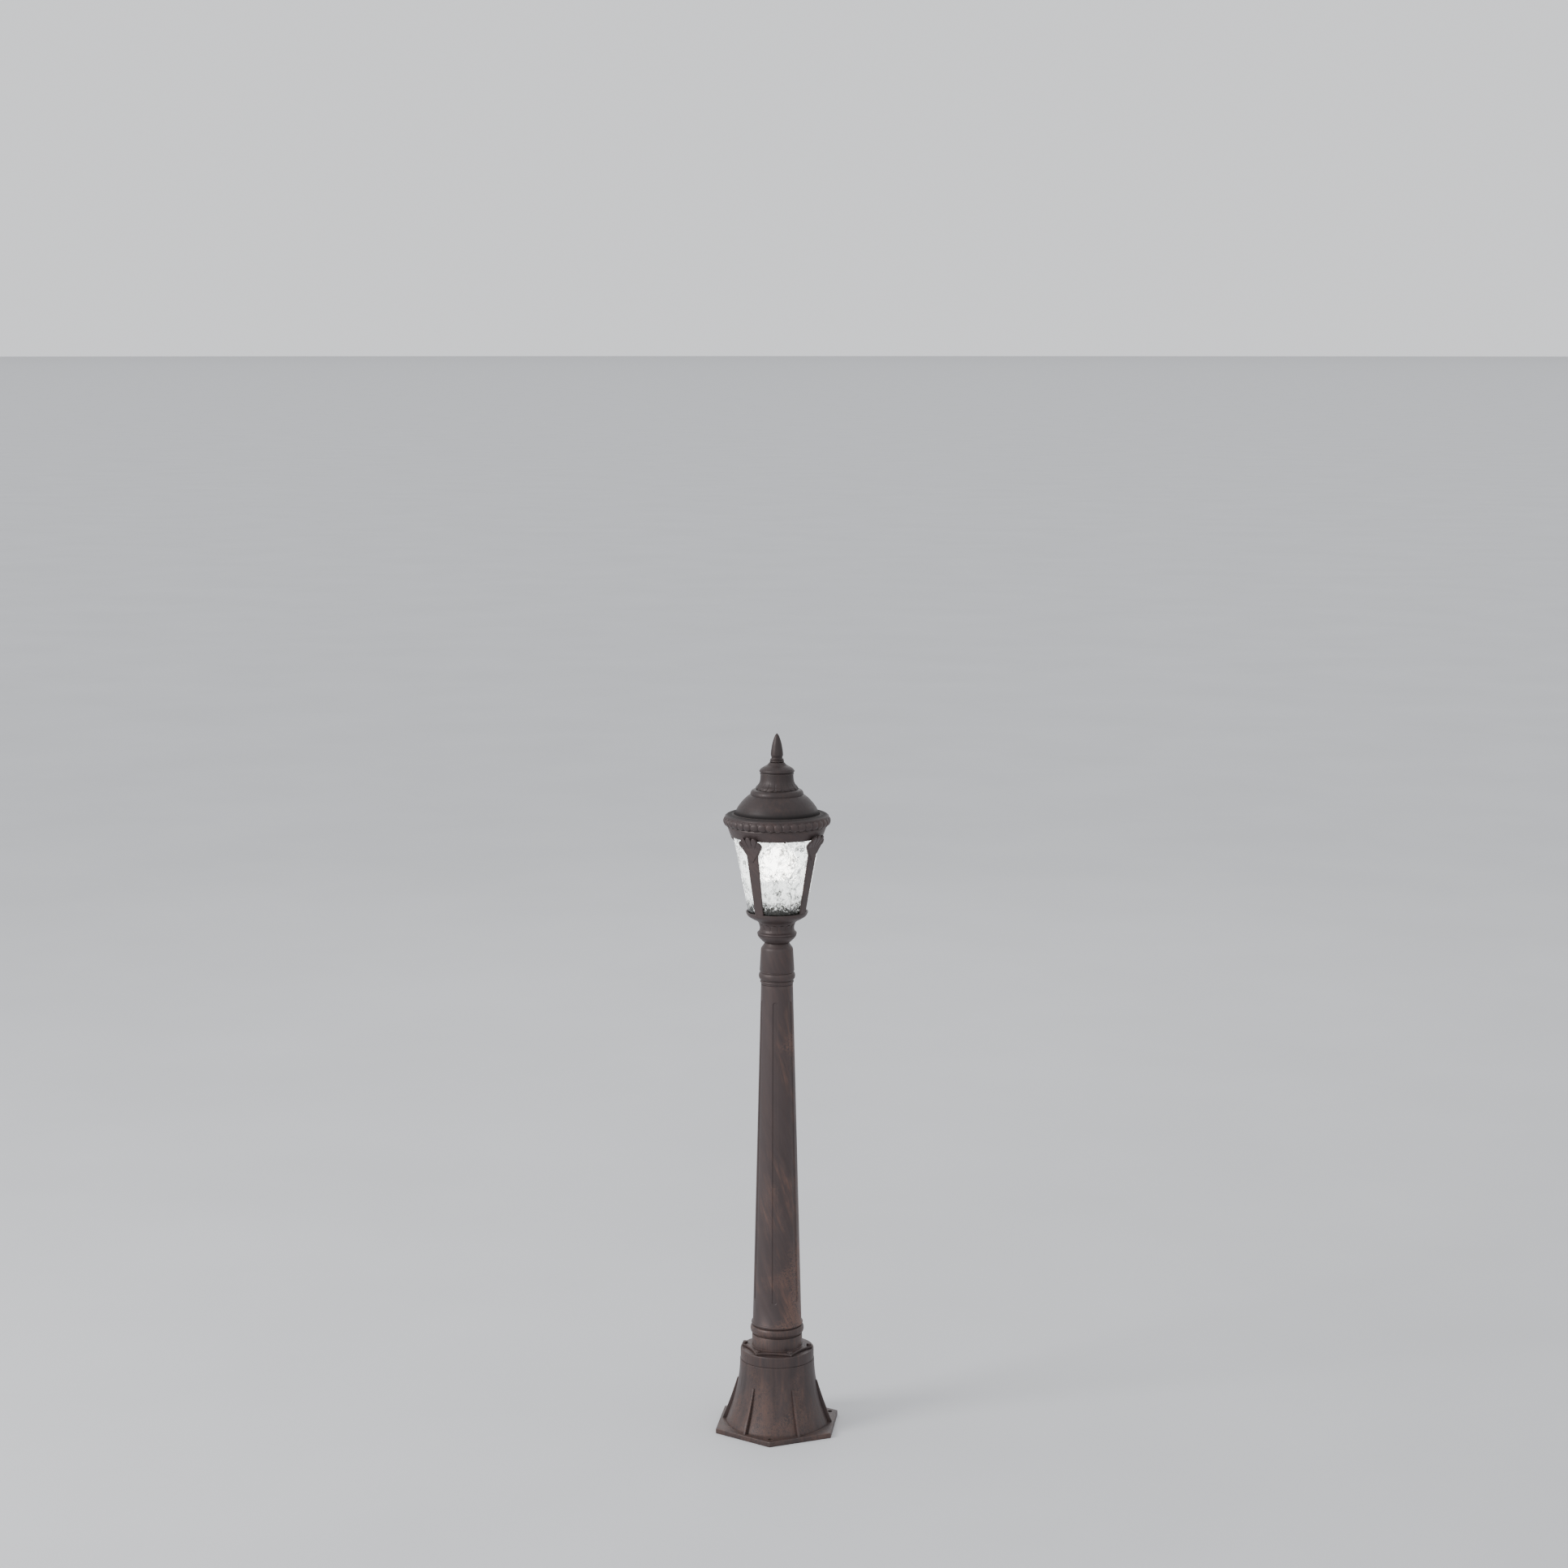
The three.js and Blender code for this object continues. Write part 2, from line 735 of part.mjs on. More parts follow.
function glassShade() {
  const outside = [[glassRadius(glassFoot), 0], [glassTopRadius, glassLength]];
  const inside = outside.map(([r, h]) => [r - glassWall, h]).reverse();
  return turnedRing(outside, inside, wideFacets);
}

// The frieze's outer radius at a height above its lower edge.
function friezeRadius(height) {
  return friezeFootRadius + (friezeTopRadius - friezeFootRadius) * (height / friezeHeight);
}

// A strap follows the glass and then leans out in front of the frieze. Its side outline is cut
// to its front outline, a bar that opens into a fan of five lobes.
const leafRoot = cageHeight - leafBottom;
const leafTop = leafRoot + leafTopReach;
const strapBend = cageHeight - 12;

function strapBack() {
  const inFront = strapThickness / 2 - 0.6;
  return [
    [glassRadius(seatGap) + strapStandoff, seatGap],
    [glassRadius(strapBend) + strapStandoff, strapBend],
    [friezeRadius(0) + inFront - 0.2, cageHeight - 0.5],
    [friezeRadius(leafTop - cageHeight) + inFront, leafTop],
  ];
}

function leafOutline() {
  const lobeStep = leafSpread / 2;
  const steps = 24;
  const widest = leafSpread + lobeStep / 2;
  return Array.from({ length: steps + 1 }, (_, i) => {
    const angle = widest - (2 * widest * i) / steps;
    const lean = THREE.MathUtils.degToRad(angle);
    const side = Math.abs(angle) / widest;
    const lobe = Math.pow(Math.sin((Math.PI * angle) / (2 * lobeStep) + Math.PI / 2), 2);
    const reach = leafTopReach + (leafSideReach - leafTopReach) * side - leafNotch * (1 - lobe);
    return [reach * Math.sin(lean), leafRoot + reach * Math.cos(lean)];
  });
}

function cageStrap() {
  const back = strapBack().reverse();
  const front = strapBack().map(([r, h]) => [r + strapThickness, h]);
  const width = 4 * leafSideReach;
  const plate = solid(standing([...back, ...front], width));
  const outline = [
    [-strapFootHalf, 0],
    [strapFootHalf, 0],
    [strapHeadHalf, leafRoot - leafBottom],
    ...leafOutline(),
    [-strapHeadHalf, leafRoot - leafBottom],
  ];
  const reach = 2 * friezeTopRadius;
  const front2d = slab(outline, reach)
    .rotateX(Math.PI / 2)
    .rotateZ(Math.PI / 2);
  const pilot = friezeRadius(strapScrewRise) + strapThickness / 2 + 1.2;
  const hole = rod(strapScrewShank + boltPlay, friezeBore, pilot)
    .rotateY(Math.PI / 2)
    .translate(0, 0, cageHeight + strapScrewRise);
  return asGeometry(less(plate.intersect(solid(front2d)), [hole]));
}

// A screw whose head lies nearest the axis and whose shank points outwards.
function radialScrew(headRadius, headHeight, shankRadius, from, shankEnd) {
  const head = rod(headRadius, from, from + headHeight);
  const shank = rod(shankRadius, from + headHeight / 2, shankEnd);
  return asGeometry(joined([head, shank])).rotateY(Math.PI / 2);
}

const strapHeadPocket = strapScrewHeadHeight + 2 * seatGap;

function frieze() {
  const outside = [
    [friezeFootRadius - 1.6, 0],
    [friezeFootRadius - 0.3, 0.6],
    [friezeRadius(2), 2],
    [friezeTopRadius, friezeHeight],
  ];
  const inside = [[friezeBore, friezeHeight], [friezeBore, 0]];
  const body = solid(turnedRing(outside, inside, wideFacets));
  const screwHoles = spread(strapCount).flatMap((direction) => [
    radialRod(
      strapScrewHead + boltPlay,
      friezeBore - 2,
      friezeBore + strapHeadPocket,
      strapScrewRise,
      direction,
    ),
    radialRod(
      strapScrewShank + boltPlay,
      friezeBore,
      friezeTopRadius + 2,
      strapScrewRise,
      direction,
    ),
  ]);
  const bridgeHoles = holes(
    [bridgeDirection, bridgeDirection + 180],
    bridgeScrewCircle,
    bridgeScrewShank + boltPlay,
    friezeHeight - bridgeScrewGrip - seatGap,
    friezeHeight + 1,
  );
  return asGeometry(less(body, [...screwHoles, ...bridgeHoles]));
}

// A thin strip that hangs inside the frieze and shows a little below its lower edge.
function glassClip() {
  const back = friezeBore - seatGap;
  const outline = [
    [back - clipThickness, -clipDrop],
    [back, -clipDrop],
    [back, friezeHeight - 2],
    [back - clipThickness, friezeHeight - 2],
  ];
  return standing(outline, clipWidth);
}

// --- Roof ----------------------------------------------------------------------------------

const brimCentre = brimTube - 1;

function beadRing() {
  const outerArc = arc(brimRadius, brimCentre, brimTube, -62, 118, 8);
  const innerArc = arc(brimRadius, brimCentre, brimTube - brimWall, 112, -66, 5);
  const outside = [[brimSeat, 0], [brimSeat + 2.6, 0], ...outerArc, [domeFootRadius, brimHeight]];
  const inside = [[domeFootRadius, brimHeight - brimWall], ...innerArc];
  return turnedRing(outside, inside, wideFacets);
}

// The dome draws in towards its crown as a power of its height.
function domeLine(foot, crown, rise, steps) {
  return Array.from({ length: steps + 1 }, (_, i) => {
    const level = Math.sin((Math.PI / 2) * (i / steps));
    const width = Math.pow(1 - Math.pow(level, domeSwell), 0.9);
    return [crown + (foot - crown) * width, rise * level];
  });
}

function roofDome() {
  const crown = domeHeight - stepHeight;
  const dome = domeLine(domeFootRadius - 0.5, stepFootRadius + 1.5, crown - 0.6, 7);
  const step = arc(0, 0, 1, -10, 68, 2).map(([out, up]) => [
    stepTopRadius - 2 + (stepFootRadius - stepTopRadius + 2) * out,
    crown + 1.2 + (stepHeight - 1.2) * up,
  ]);
  const outside = [...dome, [stepFootRadius, crown], ...step, [stepTopRadius - 2, domeHeight]];
  const inside = [
    [stepTopRadius - 12, domeHeight],
    [stepTopRadius - 12, domeHeight - domeWall],
    [stepTopRadius - 1, domeHeight - domeWall - 1],
    ...domeLine(domeFootRadius - domeWall, stepFootRadius - 1, crown - domeWall, 5).reverse(),
  ];
  return turnedRing(outside, inside, wideFacets);
}

function roofNeck() {
  const outside = flowing(
    [
      [neckFootRadius, 0],
      [neckFootRadius - 1.8, 3.7],
      [neckTopRadius + 3.6, 7.7],
      [neckTopRadius + 0.9, 14],
      [neckTopRadius, neckHeight],
    ],
    5,
  );
  const inside = outside.map(([r, h]) => [r - neckWall, h]).reverse();
  return turnedRing(outside, inside, slimFacets);
}

function roofKnob() {
  const bore = studRadius + threadPlay;
  const crownLine = flowing(
    [
      [knobRadius, 6.4],
      [knobRadius - 2.4, 9.2],
      [knobRadius - 7.2, 12.4],
      [knobTopRadius + 3.6, 15.8],
      [knobTopRadius, knobHeight],
    ],
    5,
  );
  const outside = [
    [neckTopRadius + 0.4, 0],
    [neckTopRadius + 0.9, 1.6],
    [neckTopRadius, 2.8],
    [knobRadius - 0.8, 3.6],
    [knobRadius, 4.6],
    ...crownLine,
  ];
  const seat = neckTopRadius - neckWall;
  const inside = [[bore, knobHeight], [bore, 9.5], [seat, 4], [seat, 0]];
  return turnedRing(outside, inside, slimFacets);
}

function finialWasher() {
  const outside = arc(washerRadius - 1.7, washerHeight / 2, 1.7, -90, 90, 4);
  const bore = studRadius + threadPlay;
  return turnedRing(outside, [[bore, washerHeight], [bore, 0]], slimFacets);
}

const insertBore = insertRadius + 2 * threadPlay;

function finial() {
  const bulletFoot = 8.3;
  const bullet = flowing(
    [
      [finialRadius, bulletFoot],
      [finialRadius - 0.9, bulletFoot + 10],
      [finialRadius - 3, bulletFoot + 20.5],
      [finialRadius - 6.8, bulletFoot + 32.5],
    ],
    7,
  );
  const foot = [
    [finialNeck + 1.9, 0],
    [finialNeck + 2.1, 1.4],
    [finialNeck + 0.2, 2.8],
    [finialNeck, 4.6],
    [finialNeck + 0.6, bulletFoot - 1.8],
  ];
  const well = insertLength + 2 * seatGap + 2;
  const inside = [[0, well], [insertBore, well], [insertBore, 0]];
  return turned([...inside, ...foot, ...bullet, [0, finialHeight]], finialFacets);
}

// --- Bridge and stud -----------------------------------------------------------------------

function bridge() {
  const bar = block(
    [-bridgeHalfLength, -bridgeHalfWidth, 0],
    [bridgeHalfLength, bridgeHalfWidth, bridgeThickness],
  );
  const roundEnds = rod(bridgeHalfLength, -1, bridgeThickness + 1, wideFacets);
  const bores = [-bridgeScrewCircle, bridgeScrewCircle].map((x) =>
    rod(bridgeScrewShank + boltPlay, -1, bridgeThickness + 1).translate(x, 0, 0),
  );
  const middle = rod(studRadius + boltPlay, -1, bridgeThickness + 1);
  return asGeometry(less(solid(bar).intersect(solid(roundEnds)), [middle, ...bores]));
}

function nut(radius, bore, height) {
  return asGeometry(less(solid(rod(radius, 0, height, 6)), [rod(bore, -1, height + 1)]));
}

function uprightScrew(headRadius, headHeight, shankRadius, grip) {
  const head = rod(headRadius, seatGap, headHeight);
  return asGeometry(joined([head, rod(shankRadius, -grip, headHeight / 2)]));
}

// --- Electrics -----------------------------------------------------------------------------

const holderBase = bowlBase + bowlFloor + seatGap + nippleNutHeight + seatGap;
const holderBore = bulbThread + threadPlay + 0.1;
const stripTop = holderBase + holderFloor + seatGap + 0.8;
const contactBase = stripTop + seatGap;
const capBase = contactBase + bulbContactHeight + seatGap;
const bulbBodyBase = capBase + bulbCapHeight + seatGap;
const bulbDomeBase = bulbBodyBase + bulbBodyHeight + seatGap;
const ceilingHeight = sleeveBase + sleeveHeight - sleeveCeiling;
const nippleBottom = ceilingHeight - seatGap - nippleNutHeight - nippleTail;
const nippleTop = holderBase + holderFloor / 2;

function lampholder() {
  const bore = nippleRadius + boltPlay;
  const outside = [
    [holderRadius - 3, 0],
    [holderRadius, 3],
    [holderRadius, holderHeight - 6],
    [holderRadius - 2, holderHeight - 5],
    [holderRadius - 2, holderHeight],
  ];
  const inside = [
    [holderBore, holderHeight],
    [holderBore, holderFloor],
    [bore, holderFloor],
    [bore, 0],
  ];
  return turnedRing(outside, inside, slimFacets);
}

function bulbCap() {
  const threadTop = bulbCapHeight - 3;
  const line = Array.from({ length: 5 }, (_, i) => {
    const crest = i % 2 === 1;
    return [crest ? bulbThread : bulbThread - 0.9, 5 + ((threadTop - 5) * i) / 4];
  });
  const tip = [[0, 0], [bulbContactRadius + 0.5, 0], [bulbThread - 1.5, 4]];
  const crown = [[bulbThread - 0.5, bulbCapHeight], [0, bulbCapHeight]];
  return turned([...tip, ...line, ...crown], slimFacets);
}

function bulbBody() {
  const line = flowing(
    [
      [bulbBodyFoot, 0],
      [bulbBodyFoot + 0.4, 8],
      [bulbBodyTop - 2.6, 20],
      [bulbBodyTop, bulbBodyHeight],
    ],
    6,
  );
  return turned([[0, 0], ...line, [0, bulbBodyHeight]], slimFacets);
}

function bulbDome() {
  const domeSteps = 6;
  const opening = -Math.acos(bulbBodyTop / bulbDomeRadius) * THREE.MathUtils.RAD2DEG;
  const centre = Math.sqrt(bulbDomeRadius ** 2 - bulbBodyTop ** 2);
  const outside = arc(0, centre, bulbDomeRadius, opening, 90, domeSteps);
  const inner = bulbDomeRadius - bulbDomeWall;
  const innerOpening = -Math.asin(centre / inner) * THREE.MathUtils.RAD2DEG;
  const inside = arc(0, centre, inner, 90, innerOpening, domeSteps);
  outside[domeSteps][0] = 0;
  inside[0][0] = 0;
  return turned([...inside, ...outside], slimFacets);
}

function terminalBlock() {
  const near = bossReach - seatGap - blockDepth;
  const body = facing(
    block(
      [near, -blockWidth / 2, innerScrewHeight - blockHeight / 2],
      [bossReach - seatGap, blockWidth / 2, innerScrewHeight + blockHeight / 2],
    ),
    blockDirection,
  );
  const bore = radialRod(
    innerScrewShank + boltPlay,
    near - 1,
    bossReach,
    innerScrewHeight,
    blockDirection,
  );
  return asGeometry(less(solid(body), [bore]));
}

// The lead leaves the terminal block's top, bends to the axis and climbs to the lampholder.
function lampLead() {
  const [x, y] = offset(blockDirection, bossReach - seatGap - blockDepth / 2);
  const top = innerScrewHeight + blockHeight / 2 + 2 * seatGap;
  const crown = bellBase + bellHeight;
  const straight = shaftBase + 30; // from here up the lead keeps to the axis
  const end = holderBase + holderFloor - seatGap;
  const route = [
    [x + 7, y, top],
    [x + 7, y, top + 8],
    [x + 5, y * 0.68, crown + 6],
    [x + 2, y * 0.3, footBase + footHeight / 2],
    [0, 0, straight],
    [0, 0, straight + 30],
    ...[0.25, 0.5, 0.75, 1].map((part) => [0, 0, straight + (end - straight) * part]),
  ];
  return wire(route, leadRadius, 8, 54);
}

function earthWire() {
  const blockSide = blockWidth / 2 + seatGap;
  const depth = bossReach - seatGap - blockDepth / 2;
  const [, blockY] = offset(blockDirection, depth);
  const screwFace = bossReach - innerScrewHeadHeight - 3 * seatGap;
  const [screwX, screwY] = offset(earthDirection, screwFace - earthWireRadius);
  const route = [
    [-blockSide, blockY, innerScrewHeight],
    [-blockSide - 3, blockY, innerScrewHeight + 0.5],
    [screwX * 0.86, screwY * 1.25, innerScrewHeight + 4],
    [screwX, screwY, innerScrewHeight],
  ];
  return wire(route, earthWireRadius, 8, 10);
}

// --- Assembly ------------------------------------------------------------------------------

const lamp = new THREE.Group();
const post = new THREE.Group();
const lantern = new THREE.Group();
const roof = new THREE.Group();
lantern.rotation.z = THREE.MathUtils.degToRad(lanternTurn);
lamp.add(post, lantern);
lantern.add(roof);

piece(post, "base_casting", baseCasting(), "bronze");
piece(post, "base_collar", baseCollar(), "bronze", collarBase);
piece(post, "post_foot", postFoot(), "bronze", footBase);
piece(post, "foot_ring", footRing(), "bronze", footRingBase);
piece(post, "shaft", shaft(), "bronze", shaftBase);
piece(post, "shaft_top_ring", topRing(), "bronze", topRingBase);
piece(post, "neck_sleeve", neckSleeve(), "bronze", sleeveBase);
spread(boltCount).forEach((direction, i) => {
  const flangeTop = footBase + flangeThickness;
  const bolt = piece(post, `flange_bolt_${i + 1}`, flangeBolt(), "bronze", flangeTop);
  [bolt.position.x, bolt.position.y] = offset(direction, boltCircle);
});

piece(lantern, "lantern_pedestal", pedestal(), "bronze", pedestalBase);
piece(lantern, "lantern_bowl", bowl(), "bronze", bowlBase);
piece(lantern, "glass_gasket", glassGasket(), "rubber", bowlBase + gasketSeat + seatGap);
piece(lantern, "glass_shade", glassShade(), "glass", rimHeight + glassFoot);
piece(lantern, "frieze_ring", frieze(), "bronze", friezeBase);
spread(strapCount).forEach((direction, i) => {
  piece(lantern, `cage_strap_${i + 1}`, cageStrap(), "bronze", rimHeight, direction - 90);
  const screw = radialScrew(
    strapScrewHead,
    strapScrewHeadHeight,
    strapScrewShank,
    friezeBore + seatGap,
    friezeRadius(strapScrewRise) + strapThickness / 2 + 0.9,
  );
  const screwHeight = friezeBase + strapScrewRise;
  piece(lantern, `strap_screw_${i + 1}`, screw, "steel", screwHeight, direction - 90);
});
spread(clipCount, 45).forEach((direction, i) => {
  piece(lantern, `glass_clip_${i + 1}`, glassClip(), "bronze", friezeBase, direction - 90);
});

const bridgeBase = brimBase;
const studNutBase = bridgeBase - seatGap - studNutHeight;
const bridgeTop = bridgeBase + bridgeThickness;
piece(lantern, "roof_bridge", bridge(), "steel", bridgeBase, bridgeDirection - 90);
[bridgeDirection, bridgeDirection + 180].forEach((direction, i) => {
  const grip = bridgeThickness + bridgeScrewGrip;
  const shape = uprightScrew(bridgeScrewHead, bridgeScrewHeadHeight, bridgeScrewShank, grip);
  const screw = piece(lantern, `bridge_screw_${i + 1}`, shape, "steel", bridgeTop);
  [screw.position.x, screw.position.y] = offset(direction, bridgeScrewCircle);
});
const studBottom = studNutBase - studTail;
const stud = rod(studRadius, 0, finialBase + studInFinial - studBottom);
piece(lantern, "roof_stud", stud, "steel", studBottom);
const studNut = nut(studNutRadius, studRadius + boltPlay, studNutHeight);
piece(lantern, "stud_nut_lower", studNut, "steel", studNutBase);
piece(lantern, "stud_nut_upper", studNut.clone(), "steel", bridgeTop + seatGap);

piece(roof, "bead_ring", beadRing(), "bronze", brimBase);
piece(roof, "roof_dome", roofDome(), "bronze", domeBase);
piece(roof, "roof_neck", roofNeck(), "bronze", neckBase);
piece(roof, "roof_knob", roofKnob(), "bronze", knobBase);
piece(roof, "finial_washer", finialWasher(), "bronze", washerBase);
piece(roof, "finial", finial(), "bronze", finialBase);
const insertShape = tube(insertRadius, insertRadius - insertWall, 0, insertLength, finialFacets);
piece(roof, "finial_insert", insertShape, "brass", finialBase + seatGap);

const nipple = tube(nippleRadius, nippleBore, nippleBottom, nippleTop, smallFacets);
const nippleNut = nut(nippleNutRadius, nippleRadius + boltPlay, nippleNutHeight);
piece(lantern, "cable_nipple", nipple, "steel");
const lowerNutBase = ceilingHeight - seatGap - nippleNutHeight;
piece(lantern, "nipple_nut_lower", nippleNut, "steel", lowerNutBase);
piece(lantern, "nipple_nut_upper", nippleNut.clone(), "steel", bowlBase + bowlFloor + seatGap);
piece(lantern, "lampholder", lampholder(), "porcelain", holderBase);
const strip = rod(bulbContactRadius + 1.5, 0, 0.8, slimFacets);
piece(lantern, "lampholder_contact", strip, "brass", stripTop - 0.8);
const contactTip = [[0, 0], [bulbContactRadius - 2, 0.3]];
const contactTop = [[bulbContactRadius, bulbContactHeight], [0, bulbContactHeight]];
const contact = turned([...contactTip, ...contactTop], smallFacets);
piece(lantern, "bulb_contact", contact, "brass", contactBase);
piece(lantern, "bulb_cap", bulbCap(), "nickel", capBase);
piece(lantern, "bulb_body", bulbBody(), "bulbWhite", bulbBodyBase);
const board = rod(lightBoardRadius, 0, lightBoardThickness, slimFacets);
piece(lantern, "bulb_light_board", board, "porcelain", bulbDomeBase);
piece(lantern, "bulb_dome", bulbDome(), "milkGlass", bulbDomeBase);

piece(post, "terminal_block", terminalBlock(), "porcelain");
const innerScrewStart = bossReach - 2 * seatGap - blockDepth - innerScrewHeadHeight;
const blockScrew = radialScrew(
  innerScrewHead,
  innerScrewHeadHeight,
  innerScrewShank,
  innerScrewStart,
  bossReach + innerScrewGrip,
);
piece(post, "terminal_screw", blockScrew, "steel", innerScrewHeight, blockDirection - 90);
const earthScrew = radialScrew(
  innerScrewHead,
  innerScrewHeadHeight,
  innerScrewShank,
  bossReach - seatGap - innerScrewHeadHeight,
  bossReach + innerScrewGrip,
);
piece(post, "earth_screw", earthScrew, "brass", innerScrewHeight, earthDirection - 90);
piece(post, "earth_wire", earthWire(), "earthGreen");
piece(post, "lamp_lead", lampLead(), "cable");

export default lamp;
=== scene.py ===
"""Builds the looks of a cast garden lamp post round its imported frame.

Sizes in this file are millimetres unless a name or a property says otherwise, and meshes are
written in metres. A direction of 0 degrees is towards -Y and 90 degrees is towards +X.
"""

import math

import bmesh
import bpy
import numpy as np
from bpy.props import FloatProperty, FloatVectorProperty, IntProperty, PointerProperty
from mathutils import Euler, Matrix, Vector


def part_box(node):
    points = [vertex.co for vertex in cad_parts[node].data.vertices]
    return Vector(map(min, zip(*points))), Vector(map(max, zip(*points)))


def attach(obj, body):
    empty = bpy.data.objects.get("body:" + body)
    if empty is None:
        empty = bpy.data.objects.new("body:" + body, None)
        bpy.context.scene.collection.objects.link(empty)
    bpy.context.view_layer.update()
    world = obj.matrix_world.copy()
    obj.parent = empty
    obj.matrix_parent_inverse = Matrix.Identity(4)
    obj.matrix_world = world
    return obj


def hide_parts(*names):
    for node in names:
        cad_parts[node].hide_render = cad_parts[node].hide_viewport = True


bl_info = {
    "name": "Garden Lamp Post",
    "version": (1, 0, 0),
    "blender": (4, 5, 0),
    "location": "3D View > Sidebar > Lamp Post",
    "description": "Makes the pieces and finishes of a cast lamp post on its frame",
    "category": "Add Mesh",
}

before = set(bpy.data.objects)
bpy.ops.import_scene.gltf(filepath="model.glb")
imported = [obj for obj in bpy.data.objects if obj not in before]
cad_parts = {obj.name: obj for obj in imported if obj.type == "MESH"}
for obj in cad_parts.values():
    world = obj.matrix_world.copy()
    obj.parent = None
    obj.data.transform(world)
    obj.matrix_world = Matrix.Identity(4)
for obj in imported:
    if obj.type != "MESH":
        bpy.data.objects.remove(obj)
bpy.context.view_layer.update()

# Fits and walls that the frame's solids share, in millimetres.
SEAT_GAP = 0.3
PLATE_THICKNESS = 9.0
BELL_WALL = 5.0
POST_BORE = 36.3
SPIGOT = 21.0
SPIGOT_BORE = 21.3
NIPPLE_BORE = 5.3
STUD_BORE = 4.4
STUD_PITCH = 1.25
CAP_PITCH = 3.63
BULB_NECK = 20.7


def foot_of(node):
    """Height of a node's underside, in millimetres."""
    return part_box(node)[0].z * 1000


def head_of(node):
    """Height of a node's top, in millimetres."""
    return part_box(node)[1].z * 1000


def ends_of(node):
    """Heights of a node's underside and its top."""
    return foot_of(node), head_of(node)


def rise_of(node):
    """Height of a node's underside, and how far its top stands above that."""
    return foot_of(node), head_of(node) - foot_of(node)


# --- Settings ------------------------------------------------------------------------------


def size(name, description, default, low=0.0):
    """A size in millimetres that a user may change."""
    return FloatProperty(name=name, description=description, default=default, min=low, unit="NONE")


def tint(name, description, default):
    """A colour that a user may change."""
    return FloatVectorProperty(
        name=name,
        description=description,
        default=default,
        min=0.0,
        max=1.0,
        size=3,
        subtype="COLOR",
    )


class LampBaseSizes(bpy.types.PropertyGroup):
    """Sizes of the plate, bell and flange, in millimetres."""

    plate_corner: size("Plate corner", "Radius to the plate's six corners", 114.0)
    plate_chamfer: size("Plate edge", "Rounding of the plate's edges", 1.5)
    anchor_circle: size("Anchor circle", "Radius of the circle of anchor holes", 99.0)
    anchor_hole: size("Anchor hole", "Radius of an anchor hole", 4.5)
    bell_top: size("Bell top", "Radius of the bell's top edge", 63.6)
    bell_flare: size("Bell flare", "How much wider the bell is at its foot", 24.43)
    fin_width: size("Fin width", "Width of a fin", 4.6)
    fin_height: size("Fin height", "Height of a fin above the plate", 74.0)
    bolt_circle: size("Bolt circle", "Radius of the circle of flange bolts", 55.0)
    bolt_head: size("Bolt head", "Radius to the corners of a bolt's head", 4.6)


class LampShaftSizes(bpy.types.PropertyGroup):
    """Sizes of the shaft and its flutes, in millimetres."""

    foot_radius: size("Shaft foot", "Radius of the shaft at its foot", 41.7)
    top_radius: size("Shaft top", "Radius of the shaft at its top", 27.0)
    flute_count: IntProperty(
        name="Flutes", description="Number of flutes round the shaft", default=6, min=3
    )
    flute_width: size("Flute width", "Width of a flute", 9.0)
    flute_depth: size("Flute depth", "Depth of a flute", 1.3)
    twist: FloatProperty(
        name="Brush slant",
        description="How far the brushed patina winds round in one metre of height",
        default=math.radians(520),
        subtype="ANGLE",
    )


class LampLanternSizes(bpy.types.PropertyGroup):
    """Sizes of the lantern, in millimetres."""

    turn: FloatProperty(
        name="Lantern turn",
        description="How far the lantern stands turned from the base",
        default=math.radians(2),
        subtype="ANGLE",
    )
    rim_radius: size("Bowl rim", "Radius of the bowl's rim", 52.4)
    glass_foot: size("Glass at rim", "Radius of the glass at the bowl's rim", 49.0)
    glass_top: size("Glass top", "Radius of the glass at its top", 73.8)
    glass_wave: size("Glass waves", "Height of the waves on the glass", 0.28)
    bead_count: IntProperty(
        name="Beads", description="Number of beads round the brim", default=40, min=8
    )
    bead_depth: size("Bead depth", "Depth of the gaps between the beads", 2.3)
    strap_thickness: size("Strap thickness", "Thickness of a cage strap", 3.2)
    leaf_reach: size("Leaf reach", "Length of a leaf's middle lobe", 32.0)


class LampColours(bpy.types.PropertyGroup):
    """Colours of the finishes."""

    ground: tint("Patina ground", "Colour of the aged bronze", (0.066, 0.0475, 0.0465))
    shade: tint("Patina shade", "Colour of the darker patches", (0.031, 0.024, 0.024))
    rust: tint("Patina streaks", "Colour of the brushed streaks", (0.165, 0.092, 0.070))
    # The fleck colour also lightens convex edges, partly as rubbed wear and partly as a painted
    # highlight.
    fleck: tint("Patina flecks", "Colour of the worn flecks", (0.20, 0.165, 0.15))
    # The glass colour is also the colour of the glass's painted glow: the bulb's light scattered in
    # the glass, painted on as emission.
    glass: tint("Glass", "Colour of the lit glass", (0.93, 0.95, 0.94))
    glow: tint("Light", "Colour of the lamp's light", (1.0, 0.93, 0.84))
    floor: tint("Floor", "Colour of the floor", (0.64, 0.645, 0.66))


# --- Profiles and surfaces -----------------------------------------------------------------


def points(*pairs):
    """An array of (radius, height) or (across, rise) pairs."""
    return np.array(pairs, float)


def arc(radius, height, across, up, start, end, steps):
    """Points on an ellipse in the profile's plane: radius + across·cos(a), height + up·sin(a)."""
    angle = np.radians(np.linspace(start, end, steps + 1))
    return np.column_stack([radius + across * np.cos(angle), height + up * np.sin(angle)])


